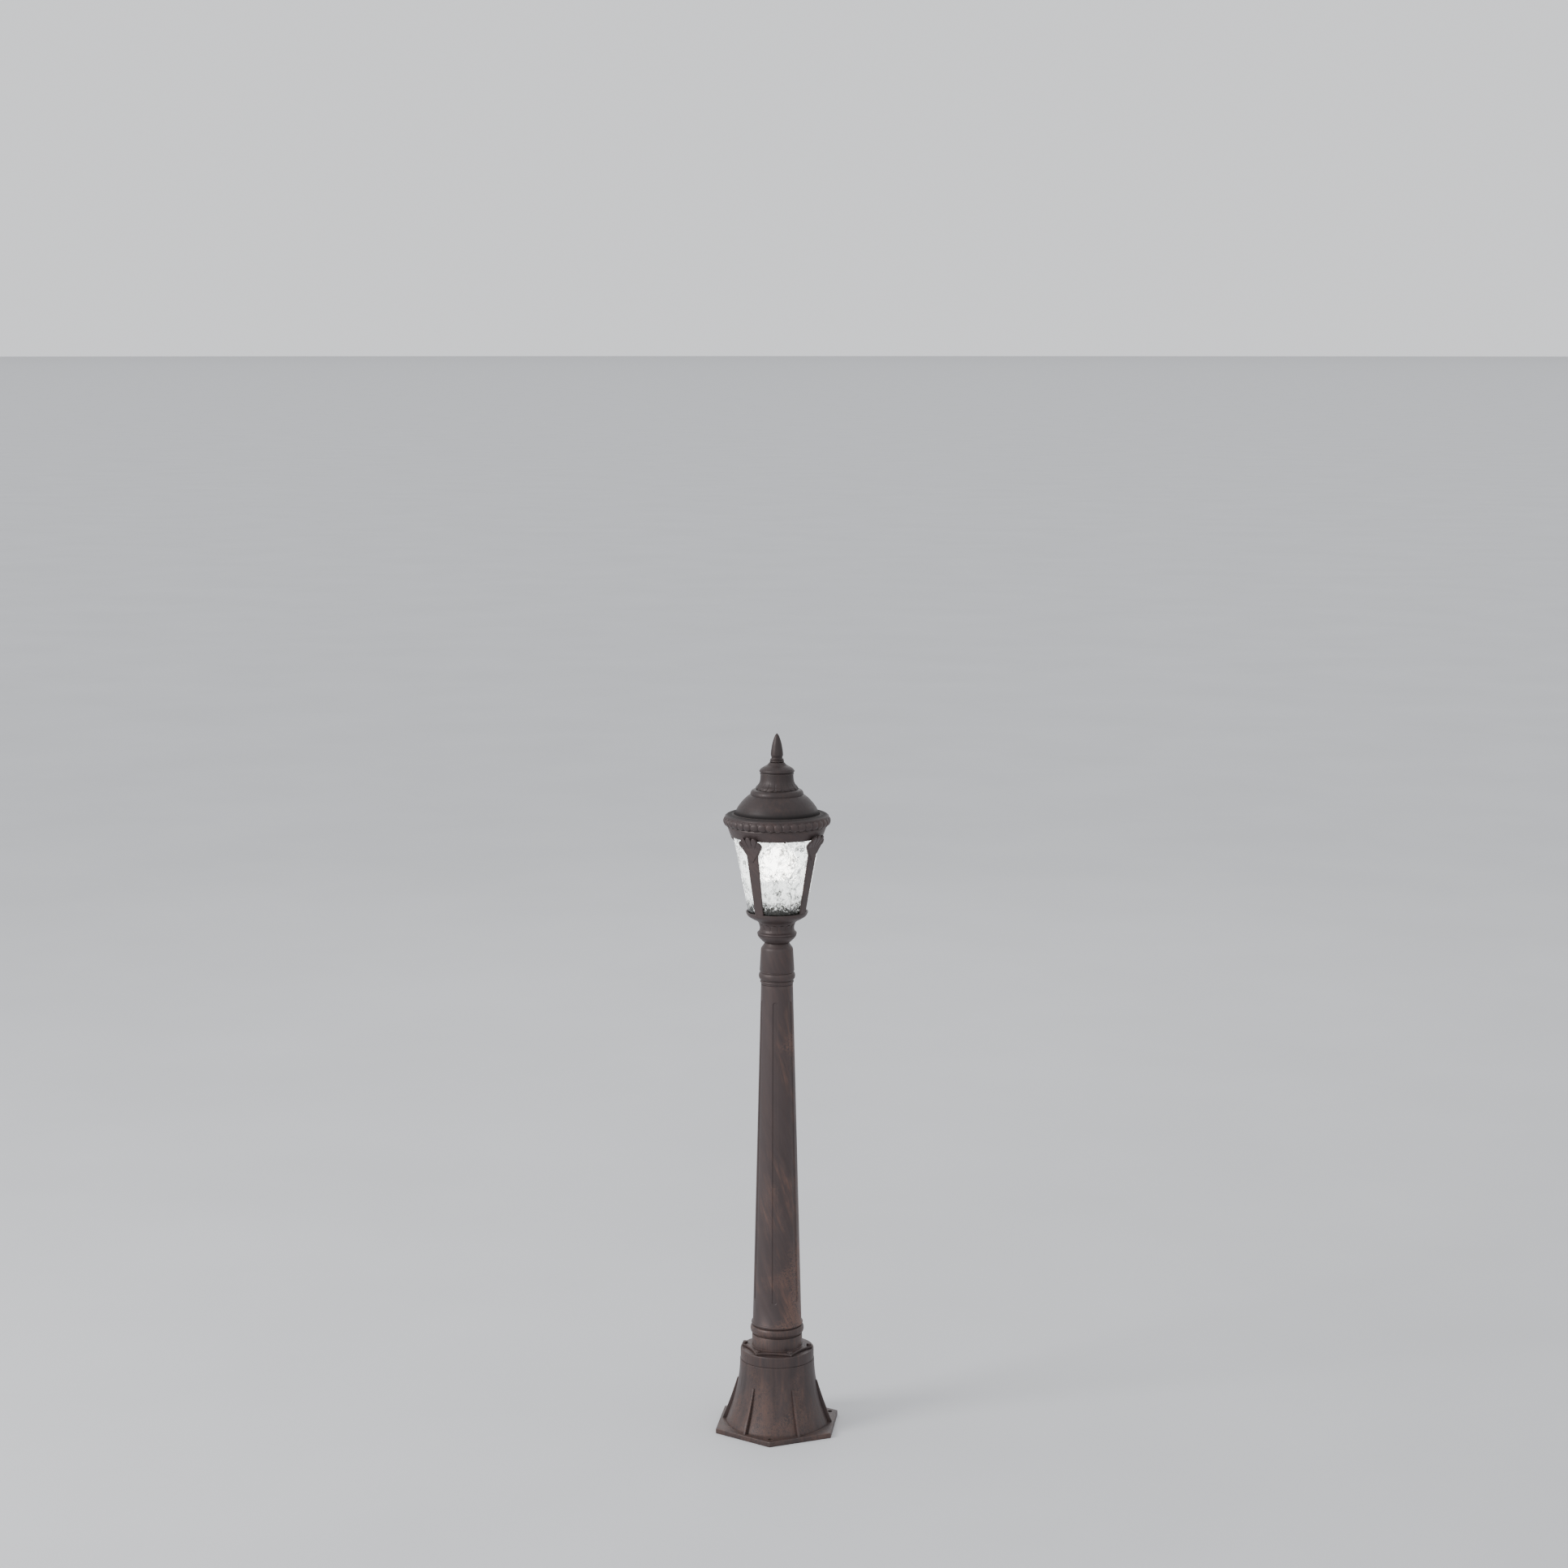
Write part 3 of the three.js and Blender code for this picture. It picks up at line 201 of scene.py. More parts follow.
def flowing(line, steps):
    """A Catmull-Rom line through points: each span is the cubic that passes through its two
    ends with half the chord of their neighbours as its slope there."""
    count = len(line)
    place = np.linspace(0, count - 1, steps + 1)
    span = np.minimum(place.astype(int), count - 2)
    t = (place - span)[:, None]
    before, start = line[np.maximum(span - 1, 0)], line[span]
    end, after = line[span + 1], line[np.minimum(span + 2, count - 1)]
    leave, arrive = (end - before) / 2, (after - start) / 2
    return (
        (2 * start - 2 * end + leave + arrive) * t**3
        + (-3 * start + 3 * end - 2 * leave - arrive) * t**2
        + leave * t
        + start
    )


def softened(line, radius, steps=3):
    """A closed profile with its corners rounded: each corner becomes the quadratic curve from a
    point just before it to a point just after it."""
    before, after = np.roll(line, 1, 0) - line, np.roll(line, -1, 0) - line
    long_before = np.linalg.norm(before, axis=1, keepdims=True)
    long_after = np.linalg.norm(after, axis=1, keepdims=True)
    wanted = np.broadcast_to(np.reshape(radius, (-1, 1)), (len(line), 1))
    cut = np.minimum(np.minimum(wanted, 0.45 * long_before), 0.45 * long_after)
    start = (line + before / long_before * cut)[:, None]
    end = (line + after / long_after * cut)[:, None]
    t = np.linspace(0, 1, steps + 1)[None, :, None]
    return ((1 - t) ** 2 * start + 2 * t * (1 - t) * line[:, None] + t**2 * end).reshape(-1, 2)


def placed(direction, radius, height):
    """Points at directions in degrees, at radii and heights: (r·sin a, -r·cos a, z)."""
    angle = np.radians(direction)
    spread = np.broadcast_arrays(radius * np.sin(angle), -radius * np.cos(angle), height)
    return np.stack(spread, -1)


def turned(line, directions, base=0.0, turn=0.0, relief=None):
    """A profile carried round the axis. relief gives a change of radius for each direction,
    radius and height."""
    direction = np.asarray(directions, float)[None, :]
    radius, height = line[:, :1], line[:, 1:]
    if relief is not None:
        radius = radius + relief(direction, radius, height)
    return placed(direction + math.degrees(turn), radius, height + base)


def round_about(count):
    """Evenly spaced directions, in degrees."""
    return np.arange(count) * 360 / count


def oval(half_width, half_depth, count, squareness=0.5):
    """A rounded rectangle: half_width·|cos a|^s and half_depth·|sin a|^s, with their signs."""
    angle = np.radians(round_about(count))
    across = np.sign(np.cos(angle)) * np.abs(np.cos(angle)) ** squareness
    out = np.sign(np.sin(angle)) * np.abs(np.sin(angle)) ** squareness
    return half_width * across, half_depth * out


def closed_ends(grid):
    """A tube of points with each end drawn in to its middle, so that the tube is closed."""
    low = np.broadcast_to(grid[:1].mean(1, keepdims=True), grid[:1].shape)
    high = np.broadcast_to(grid[-1:].mean(1, keepdims=True), grid[-1:].shape)
    return np.concatenate([low, grid, high])


def lattice(rows, columns, ring):
    """Quads between neighbouring rows and columns. Columns always join round, and rows too
    where the profile is a ring."""
    row = np.arange(rows if ring else rows - 1)[:, None]
    column = np.arange(columns)[None, :]
    beside = (column + 1) % columns
    above = (row + 1) % rows
    quads = [row * columns + column, row * columns + beside]
    quads += [above * columns + beside, above * columns + column]
    return np.stack(np.broadcast_arrays(*quads), -1).reshape(-1, 4)


def outward(vertices, quads):
    """The quads, turned round if the volume that they close is negative."""
    a, b, c, d = (vertices[quads[:, i]] for i in range(4))
    volume = np.einsum("ij,ij->", a, np.cross(b, c)) + np.einsum("ij,ij->", a, np.cross(c, d))
    return quads if volume > 0 else quads[:, ::-1]


def mesh_of(name, shells):
    """One mesh from closed shells, each a grid of points in millimetres with a flag that is true
    where its rows join into a ring."""
    vertices, quads, first = [], [], 0
    for grid, ring in shells:
        corners = grid.reshape(-1, 3)
        faces = outward(corners, lattice(grid.shape[0], grid.shape[1], ring))
        vertices.append(corners)
        quads.append(faces + first)
        first += len(corners)
    vertices, quads = np.concatenate(vertices) / 1000, np.concatenate(quads)
    mesh = bpy.data.meshes.new(name)
    mesh.vertices.add(len(vertices))
    mesh.vertices.foreach_set("co", vertices.astype(np.float32).ravel())
    mesh.loops.add(quads.size)
    mesh.loops.foreach_set("vertex_index", quads.astype(np.int32).ravel())
    mesh.polygons.add(len(quads))
    mesh.polygons.foreach_set("loop_start", np.arange(0, quads.size, 4, dtype=np.int32))
    mesh.update(calc_edges=True)
    welded = bmesh.new()
    welded.from_mesh(mesh)
    bmesh.ops.remove_doubles(welded, verts=welded.verts, dist=1e-7)
    bmesh.ops.dissolve_degenerate(welded, edges=welded.edges, dist=1e-8)
    welded.to_mesh(mesh)
    welded.free()
    return mesh


def piece(name, shells, look, body, nodes, sharp=38.0):
    """A shown piece: its mesh, its finish, the body that it rides on and the nodes that it
    stands for. Edges sharper than an angle stay sharp."""
    mesh = mesh_of(name, shells)
    obj = bpy.data.objects.new(name, mesh)
    bpy.context.scene.collection.objects.link(obj)
    mesh.polygons.foreach_set("use_smooth", np.ones(len(mesh.polygons), bool))
    mesh.set_sharp_from_angle(angle=math.radians(sharp))
    mesh.materials.append(look)
    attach(obj, body)
    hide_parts(*nodes)
    return obj


def round_piece(name, line, count, look, body, node, turn=0.0, relief=None):
    """A closed profile carried round the axis, as a piece that stands for one node."""
    shell = turned(line, round_about(count), 0, turn, relief), True
    return piece(name, [shell], look, body, [node])


def drilled(obj, cutters, sharp):
    """Cuts closed shells out of a piece and keeps the result as its mesh."""
    tool = bpy.data.objects.new("drill", mesh_of("drill", cutters))
    bpy.context.scene.collection.objects.link(tool)
    cut = obj.modifiers.new("holes", "BOOLEAN")
    cut.operation, cut.solver, cut.object = "DIFFERENCE", "EXACT", tool
    evaluated = obj.evaluated_get(bpy.context.evaluated_depsgraph_get())
    made = bpy.data.meshes.new_from_object(evaluated)
    obj.modifiers.clear()
    old, obj.data = obj.data, made
    made.name = old.name
    bpy.data.meshes.remove(old)
    bpy.data.objects.remove(tool)
    made.set_sharp_from_angle(angle=math.radians(sharp))


def rod(centre, radius, low, high, count=32):
    """An upright rod about a point, closed at both ends."""
    line = points([radius, low], [radius, high])
    grid = turned(line, round_about(count)) + np.array([centre[0], centre[1], 0.0])
    return closed_ends(grid), False


# --- Finishes ------------------------------------------------------------------------------


def new_finish(name):
    """An empty finish: the material, its node tree and its shader."""
    look = bpy.data.materials.new(name)
    look.use_nodes = True
    tree = look.node_tree
    tree.nodes.clear()
    shader = tree.nodes.new("ShaderNodeBsdfPrincipled")
    out = tree.nodes.new("ShaderNodeOutputMaterial")
    tree.links.new(shader.outputs[0], out.inputs["Surface"])
    return look, tree, shader


def put(tree, kind, *values, out=0, **settings):
    """Adds a node, sets its settings, fills its inputs in order with numbers, colours or other
    nodes' outputs (None leaves one alone), and returns one of its outputs."""
    node = tree.nodes.new("ShaderNode" + kind)
    for key, value in settings.items():
        setattr(node, key, value)
    for socket, value in zip(node.inputs, values):
        if isinstance(value, bpy.types.NodeSocket):
            tree.links.new(value, socket)
        elif value is not None:
            socket.default_value = value
    return node.outputs[out]


def sums(tree, operation, a, b=None):
    """One step of arithmetic on values."""
    return put(tree, "Math", a, b, operation=operation)


def ranged(tree, value, low, high, to_low=0.0, to_high=1.0):
    """Carries a value from one range to another and stops at its ends."""
    return put(tree, "MapRange", value, low, high, to_low, to_high)


def product(tree, a, b):
    """Two values multiplied."""
    return sums(tree, "MULTIPLY", a, b)


def off_middle(tree, value):
    """How far a noise is from its middle value: it is least along winding lines."""
    return sums(tree, "ABSOLUTE", sums(tree, "SUBTRACT", value, 0.5))


def noise(tree, where, scale, detail=3.0, rough=0.55, bend=0.0, out=0):
    """A cloudy pattern, with about scale clouds in a metre. Output 1 is its colour."""
    node = tree.nodes.new("ShaderNodeTexNoise")
    tree.links.new(where, node.inputs["Vector"])
    node.inputs["Scale"].default_value = scale
    node.inputs["Detail"].default_value = detail
    node.inputs["Roughness"].default_value = rough
    node.inputs["Distortion"].default_value = bend
    return node.outputs[out]


def specks(tree, where, scale):
    """The distance to the nearest of many scattered points."""
    node = tree.nodes.new("ShaderNodeTexVoronoi")
    tree.links.new(where, node.inputs["Vector"])
    node.inputs["Scale"].default_value = scale
    return node.outputs["Distance"]


def blended(tree, share, low, high):
    """Mixes two colours, which may be outputs or plain triples."""
    node = tree.nodes.new("ShaderNodeMix")
    node.data_type = "RGBA"
    for socket, value in ((node.inputs[0], share), (node.inputs[6], low), (node.inputs[7], high)):
        if isinstance(value, bpy.types.NodeSocket):
            tree.links.new(value, socket)
        elif isinstance(value, float):
            socket.default_value = value
        else:
            socket.default_value = (*value, 1.0)
    return node.outputs[2]


def rough_face(tree, shader, height, strength, distance):
    """Sends a height to the shader's normal as a bump, its distance in metres."""
    node = tree.nodes.new("ShaderNodeBump")
    node.inputs["Strength"].default_value = strength
    node.inputs["Distance"].default_value = distance
    tree.links.new(height, node.inputs["Height"])
    tree.links.new(node.outputs[0], shader.inputs["Normal"])


def patina(
    name,
    twist=0.0,
    streaks=0.35,
    darkness=0.3,
    grain=300.0,
    stretch=0.12,
    flecks=0.1,
    tone=1.0,
    lean=0.0,
    sink=0.0,
    crease=None,
):
    """Aged bronze: dark patches on a brown ground, brushed copper streaks that run up the piece,
    worn flecks, and paler edges that are partly rubbed wear and partly a painted highlight.

    twist winds the streaks round the axis, in radians for a metre of height. grain and stretch
    are how fine the streaks are across and along. tone darkens the whole. lean moves the copper
    to the +X +Y side, and sink moves it down and adds fine curls of it. The band of heights given
    last, in metres, is painted near black and made rough: painted shade under the dome's edge.
    """
    colours = bpy.context.scene.lamp_colours
    look, tree, shader = new_finish(name)
    where = put(tree, "TexCoord", out=3)
    height = put(tree, "SeparateXYZ", where, out=2)

    wound = tree.nodes.new("ShaderNodeVectorRotate")
    wound.rotation_type = "Z_AXIS"
    tree.links.new(where, wound.inputs["Vector"])
    tree.links.new(product(tree, height, twist), wound.inputs["Angle"])
    brushed = put(tree, "Mapping", wound.outputs[0], None, None, (1.0, 1.0, stretch))
    streak = noise(tree, brushed, grain, 5.0, 0.62, 0.6)
    wide_streak = noise(tree, brushed, grain * 0.3, 3.0, 0.5, 0.4)
    patch = noise(tree, where, 13.0, 3.0, 0.5, 0.5)
    cloud = noise(tree, brushed, grain * 0.16, 4.0, 0.6, 1.0)

    brown, black, copper = (
        tuple(part * tone for part in colour)
        for colour in (colours.ground, colours.shade, colours.rust)
    )
    ground = blended(tree, ranged(tree, cloud, 0.42, 0.66, 0.0, darkness), brown, black)

    aside = put(tree, "VectorMath", where, (0.80, 0.60, 0.0), out=1, operation="DOT_PRODUCT")
    low_down = product(tree, sums(tree, "SUBTRACT", 0.25, height), sink)
    drawn = sums(tree, "ADD", sums(tree, "ADD", patch, product(tree, aside, lean)), low_down)
    lit = product(tree, ranged(tree, streak, 0.40, 0.66), ranged(tree, wide_streak, 0.38, 0.58))
    share = product(tree, lit, ranged(tree, drawn, 0.36, 0.64, 0.10, 1.0))
    if sink:
        curl = off_middle(tree, noise(tree, where, 120.0, 4.0, 0.65, 1.8))
        near_curl = ranged(tree, curl, 0.07, 0.01)
        curls = product(tree, near_curl, ranged(tree, drawn, 0.50, 0.66, 0.0, 0.9))
        share = sums(tree, "MAXIMUM", share, curls)
    rusted = blended(tree, product(tree, share, streaks), ground, copper)

    spot = ranged(tree, specks(tree, where, 700.0), 0.26, 0.12)
    flecked = product(tree, spot, ranged(tree, patch, 0.56, 0.72))
    worn = blended(tree, product(tree, flecked, flecks), rusted, colours.fleck)
    rough = ranged(tree, streak, 0.3, 0.7, 0.40, 0.60)
    # Painted shade: the band of heights is darkened to near black and made rough, standing in for
    # the shade under the dome's edge on the brim's top.
    if crease:
        low, high = crease
        climb = ranged(tree, height, low, low + 0.0055, 0.0, 0.9)
        painted_shade = product(tree, climb, ranged(tree, height, high, high + 0.012, 1.0, 0.0))
        worn = blended(tree, painted_shade, worn, (0.010, 0.008, 0.008))
        rough = sums(tree, "MAXIMUM", rough, painted_shade)
    # Paler edges: where pointiness is high the colour moves towards the fleck colour, partly rubbed
    # wear and partly a painted highlight along the edges.
    pointed = put(tree, "NewGeometry", out=7)
    edge = ranged(tree, pointed, 0.545, 0.60, 0.0, 0.5)
    tree.links.new(blended(tree, edge, worn, colours.fleck), shader.inputs["Base Color"])
    tree.links.new(rough, shader.inputs["Roughness"])
    shader.inputs["Metallic"].default_value = 0.35
    shader.inputs["Specular IOR Level"].default_value = 0.5
    grit = noise(tree, where, 900.0, 3.0, 0.6)
    relief = sums(tree, "ADD", product(tree, grit, 0.5), product(tree, streak, 0.5))
    rough_face(tree, shader, relief, 0.35, 0.0004)
    return look


def plain_finish(name, colour, metallic, roughness):
    """A small fitting's finish: one colour with a clouded change, uneven gloss and fine grain."""
    look, tree, shader = new_finish(name)
    where = put(tree, "TexCoord", out=3)
    grain = noise(tree, where, 500.0, 4.0, 0.6)
    dull = tuple(part * 0.75 for part in colour)
    clouded = blended(tree, ranged(tree, grain, 0.35, 0.65), dull, colour)
    tree.links.new(clouded, shader.inputs["Base Color"])
    gloss = ranged(tree, grain, 0.3, 0.7, max(0.05, roughness - 0.08), roughness + 0.1)
    tree.links.new(gloss, shader.inputs["Roughness"])
    shader.inputs["Metallic"].default_value = metallic
    rough_face(tree, shader, grain, 0.2, 0.0003)
    return look


def wavy_glass():
    """Clear cast glass with winding ridges, lit from inside by a painted glow: the ridges are thin
    broken dark lines, drawn out upwards, and the foot by the bowl's rim is blotched dark with the
    glow turned down."""
    colours = bpy.context.scene.lamp_colours
    look, tree, shader = new_finish("wavy_glass")
    where = put(tree, "TexCoord", out=3)
    height = put(tree, "SeparateXYZ", where, out=2)

    drift = noise(tree, where, 45.0, 2.0, 0.5, out=1)
    shift = put(tree, "VectorMath", drift, (0.5, 0.5, 0.5), operation="SUBTRACT")
    push = tree.nodes.new("ShaderNodeVectorMath")
    push.operation = "SCALE"
    push.inputs["Scale"].default_value = 0.03
    tree.links.new(shift, push.inputs[0])
    bent = put(tree, "VectorMath", where, push.outputs[0], operation="ADD")
    tall = put(tree, "Mapping", bent, None, None, (1.0, 1.0, 0.45))

    ridge = ranged(tree, off_middle(tree, noise(tree, tall, 62.0, 1.0, 0.5, 0.4)), 0.012, 0.034)
    fine = noise(tree, tall, 125.0, 1.5, 0.5, 0.7)
    vein = ranged(tree, off_middle(tree, fine), 0.012, 0.046)
    no_ridge = ranged(tree, noise(tree, where, 30.0, 2.0), 0.60, 0.50)
    no_vein = ranged(tree, noise(tree, where, 75.0, 2.0), 0.53, 0.47)
    some_ridges = sums(tree, "MAXIMUM", ridge, no_ridge)
    clear = product(tree, some_ridges, sums(tree, "MAXIMUM", vein, no_vein))
    grey = tuple(part * 0.16 for part in colours.glass)
    lined = blended(tree, clear, grey, colours.glass)

    rim = head_of("lantern_bowl") / 1000
    climb = ranged(tree, height, rim, rim + 0.036, -0.20, 0.24)
    blotch = sums(tree, "ADD", noise(tree, bent, 170.0, 4.0, 0.7, 1.2), climb)
    bright = ranged(tree, blotch, 0.45, 0.55)
    # Painted light: the glass's colour is sent out as emission, standing in for the bulb's light
    # scattered by the glass. The glow is cut at the dark foot and turned down along the ridge
    # lines.
    colour = blended(tree, bright, (0.045, 0.045, 0.04), lined)
    glow = ranged(tree, bright, 0.0, 1.0, 0.05, 1.0)
    strength = product(tree, glow, ranged(tree, clear, 0.0, 1.0, 0.10, 0.75))
    tree.links.new(colour, shader.inputs["Base Color"])
    tree.links.new(colour, shader.inputs["Emission Color"])
    tree.links.new(strength, shader.inputs["Emission Strength"])
    shader.inputs["Roughness"].default_value = 0.12
    shader.inputs["IOR"].default_value = 1.47
    shader.inputs["Transmission Weight"].default_value = 0.75
    relief = sums(tree, "ADD", fine, product(tree, ridge, 0.5))
    rough_face(tree, shader, relief, 0.9, 0.0016)
    return look


def lamp_glow():
    """The bulb's milky dome: it gives off warm, faintly clouded light."""
    colours = bpy.context.scene.lamp_colours
    look, tree, shader = new_finish("lamp_glow")
    where = put(tree, "TexCoord", out=3)
    cloud = noise(tree, where, 90.0, 2.0)
    pale = blended(tree, ranged(tree, cloud, 0.3, 0.7), colours.glow, (1.0, 0.97, 0.93))
    tree.links.new(pale, shader.inputs["Base Color"])
    tree.links.new(pale, shader.inputs["Emission Color"])
    shader.inputs["Emission Strength"].default_value = 12.0
    shader.inputs["Roughness"].default_value = 0.45
    return look


def brim_crease():
    """The heights, in metres, between which the brim's top and the dome's foot get painted shade,
    standing in for the shade under the dome's edge.
    """
    middle = foot_of("bead_ring") + BRIM_TUBE - 1
    return (middle + 0.55 * BRIM_TUBE) / 1000, (middle + BRIM_TUBE + 2) / 1000


# What each bronze finish changes from the patina's own values.
BRONZES = {
    "base_patina": dict(
        streaks=0.62, darkness=0.45, grain=260.0, stretch=0.05, flecks=0.6, tone=0.84,
        lean=-1.2, sink=0.4,
    ),
    "shaft_patina": dict(
        streaks=0.95, darkness=0.35, grain=170.0, stretch=0.14, flecks=0.4, tone=0.95,
        lean=4.5, sink=0.35,
    ),
    "neck_patina": dict(twist=14.0, tone=0.86),
    "cage_patina": dict(twist=16.0, darkness=0.2, grain=330.0, tone=0.90),
    "brim_patina": dict(twist=16.0, grain=330.0, tone=0.82),
    "roof_patina": dict(grain=420.0, stretch=0.03, tone=0.56),
}

# Each small fitting's colour, metallic share and roughness.
FITTINGS = {
    "fixing_steel": ((0.52, 0.52, 0.50), 0.9, 0.38),
    "contact_brass": ((0.55, 0.38, 0.15), 0.9, 0.32),
    "cap_nickel": ((0.62, 0.60, 0.56), 1.0, 0.25),
    "seal_rubber": ((0.60, 0.60, 0.57), 0.0, 0.75),
    "holder_porcelain": ((0.80, 0.78, 0.72), 0.0, 0.22),
    "bulb_plastic": ((0.82, 0.82, 0.80), 0.0, 0.45),
    "lead_sheath": ((0.02, 0.02, 0.02), 0.0, 0.6),
    "earth_sleeve": ((0.12, 0.32, 0.06), 0.0, 0.5),
}


def finish(name):
    """A finish by its name, made when it is first asked for."""
    made = bpy.data.materials.get(name)
    if made:
        return made
    if name in FITTINGS:
        return plain_finish(name, *FITTINGS[name])
    if name in BRONZES:
        choices = dict(BRONZES[name])
        if name == "shaft_patina":
            choices["twist"] = bpy.context.scene.lamp_shaft.twist
        # The brim and the roof both take the band of painted shade under the dome's edge.
        if name in ("brim_patina", "roof_patina"):
            choices["crease"] = brim_crease()
        return patina(name, **choices)
    return {"wavy_glass": wavy_glass, "lamp_glow": lamp_glow}[name]()


# --- Base ----------------------------------------------------------------------------------

FINS = round_about(6)  # the fins and the flange's bolts stand in the same directions


def bell_radius(height):
    """The bell narrows as a power of the height that is left above a point."""
    sizes = bpy.context.scene.lamp_base
    left = np.clip(1 - np.asarray(height, float) / bell_height(), 0, 1)
    return sizes.bell_top + sizes.bell_flare * left**1.9


def plate_top():
    """Height of the plate's upper face."""
    return foot_of("base_casting") + PLATE_THICKNESS


def bell_height():
    """Height of the bell above the plate."""
    return head_of("base_casting") - plate_top()


def hexagon(directions):
    """A hexagon's reach as a share of its corners': cos 30 / cos(angle from a side's middle)."""
    from_middle = np.radians((directions + 30) % 60 - 30)
    return math.cos(math.pi / 6) / np.cos(from_middle)


def plate_shell():
    """The six-sided plate: its outer rows keep to the hexagon, and its inner rows to the round
    opening under the bell."""
    sizes = bpy.context.scene.lamp_base
    edge, top, opening = sizes.plate_chamfer, plate_top(), 84.0
    directions = round_about(6 * 40)
    side = sizes.plate_corner * hexagon(directions)
    inset = softened(points([0, 0], [0, top], [20, top], [20, 0]), [edge] * 2 + [0.1] * 2, 4)
    reach = np.where(inset[:, :1] > 19, opening, side[None, :] - inset[:, :1])
    return placed(directions[None, :], reach, inset[:, 1:]), True


def bell_shell():
    """The bell's wall, and the ledge inside its top that the bolts bite into."""
    tall, ledge_depth, ledge_bore = bell_height(), 12, 46
    sunk, sunk_bore = -4, 83.2  # the foot goes down into the plate
    rise = np.linspace(0, tall - 0.8, 40)
    outside = np.column_stack([bell_radius(rise), rise])
    inner = np.linspace(tall - ledge_depth, 0, 16)
    inside = np.column_stack([bell_radius(inner) - BELL_WALL, inner])
    lip = points([bell_radius(tall) - 0.2, tall - 0.2], [bell_radius(tall) - 0.9, tall])
    ledge = points([ledge_bore, tall], [ledge_bore, tall - ledge_depth])
    foot = points([sunk_bore, sunk], [bell_radius(0), sunk])
    line = np.concatenate([foot[1:], outside, lip, ledge, inside, foot[:1]])
    return turned(line, round_about(144), plate_top()), True


def fin_shell(direction):
    """A fin: a rounded section swept up the bell, its outer face between the bell's own curve and
    the straight line from foot to head, its head drawn in like the end of a finger."""
    sizes = bpy.context.scene.lamp_base
    tall, half, tip = sizes.fin_height, sizes.fin_width / 2, 2
    head = tall - tip + tip * np.sin(np.linspace(0.15, 1.56, 9))
    rise = np.concatenate([np.linspace(-2, tall - tip, 30), head])
    left = np.clip((tall - rise) / tip, 0, 1)
    finger = np.sqrt(np.clip(1 - (1 - left) ** 2, 0, 1))
    level = np.clip(rise / tall, 0, 1)
    bell = bell_radius(np.clip(rise, 0, None))
    straight = (bell_radius(0) + 7) * (1 - level) + (bell_radius(tall) + 1.9) * level
    curved = bell + 6.5 - 4.5 * level
    face = bell + (0.55 * straight + 0.45 * curved - bell) * finger
    back = bell - 3
    across, out = oval(1, 1, 28, 0.35)
    width = (half * (1 - 0.16 * level) * np.maximum(finger, 0.02))[:, None] * across[None, :]
    reach = ((face + back) / 2)[:, None] + ((face - back) / 2)[:, None] * out[None, :]
    grid = np.stack([reach, width, np.broadcast_to(rise[:, None], reach.shape) + plate_top()], -1)
    return closed_ends(facing(grid, direction)), False


def facing(grid, direction):
    """Turns a grid that stands along +X to face a direction."""
    angle = math.radians(direction - 90)
    turn = np.array(Euler((0, 0, angle)).to_matrix())
    return grid @ turn.T


def boss_shell(direction):
    """A lug inside the bell: a flat face towards the axis, and rows from it to the middle of the
    bell's wall, whose reach is the root of the wall's radius squared less the way aside squared."""
    across, up = oval(15, 13, 28, 0.3)
    middle, face = 71, 52
    wall = np.sqrt((bell_radius(up + middle) - BELL_WALL / 2) ** 2 - across**2)
    share = np.array([0, 0, 0.5, 1])[:, None]
    reach = face + np.array([0, 0.6, 0.6, 0.6])[:, None] * (1 - share) + (wall - face) * share
    trim = np.array([0.95, 1, 1, 1])[:, None]
    parts = np.broadcast_arrays(reach, across * trim, up * trim + middle + plate_top())
    return closed_ends(facing(np.stack(parts, -1), direction)), False


class LAMP_OT_base(bpy.types.Operator):
    """Makes the six-sided plate, and the bell with its fins"""

    bl_idname = "lamp.base"
    bl_label = "Base casting"

    def execute(self, context):
        sizes = context.scene.lamp_base
        nodes, look = ["base_casting"], finish("base_patina")
        plate = piece("base_plate", [plate_shell()], look, "post", nodes, sharp=30)
        holes = placed(np.array([30.0, 150.0, 270.0]), sizes.anchor_circle, 0)
        drilled(plate, [rod(hole, sizes.anchor_hole, -5, 20) for hole in holes], 30)
        piece("base_bell", [bell_shell()], look, "post", nodes)
        fins = [fin_shell(direction) for direction in FINS]
        piece("base_fins", fins, look, "post", nodes)
        bosses = [boss_shell(180), boss_shell(236)]
        piece("base_bosses", bosses, look, "post", nodes)
        return {"FINISHED"}


def bolt_shell(centre, low, high, under):
    """A hexagon head with its top edge turned down, and its shank below."""
    head = bpy.context.scene.lamp_base.bolt_head
    directions = round_about(48)
    side = head * hexagon(directions)
    line = points([0.55, under], [0.55, low], [0.96, low], [1, low + 0.3], [1, high - 1.1])
    crown = points([0.93, high - 0.5], [0.78, high - 0.12], [0.5, high])
    share, height = np.split(np.concatenate([line, crown]), 2, axis=1)
    crowned = np.minimum(side[None, :], head * share)
    radius = np.where(height > high - 0.9, crowned, side[None, :] * share)
    radius = np.where(share < 0.6, np.where(height > low, head * share, 2.5), radius)
    grid = placed(directions[None, :], radius, height) + np.array([centre[0], centre[1], 0.0])
    return closed_ends(grid), False


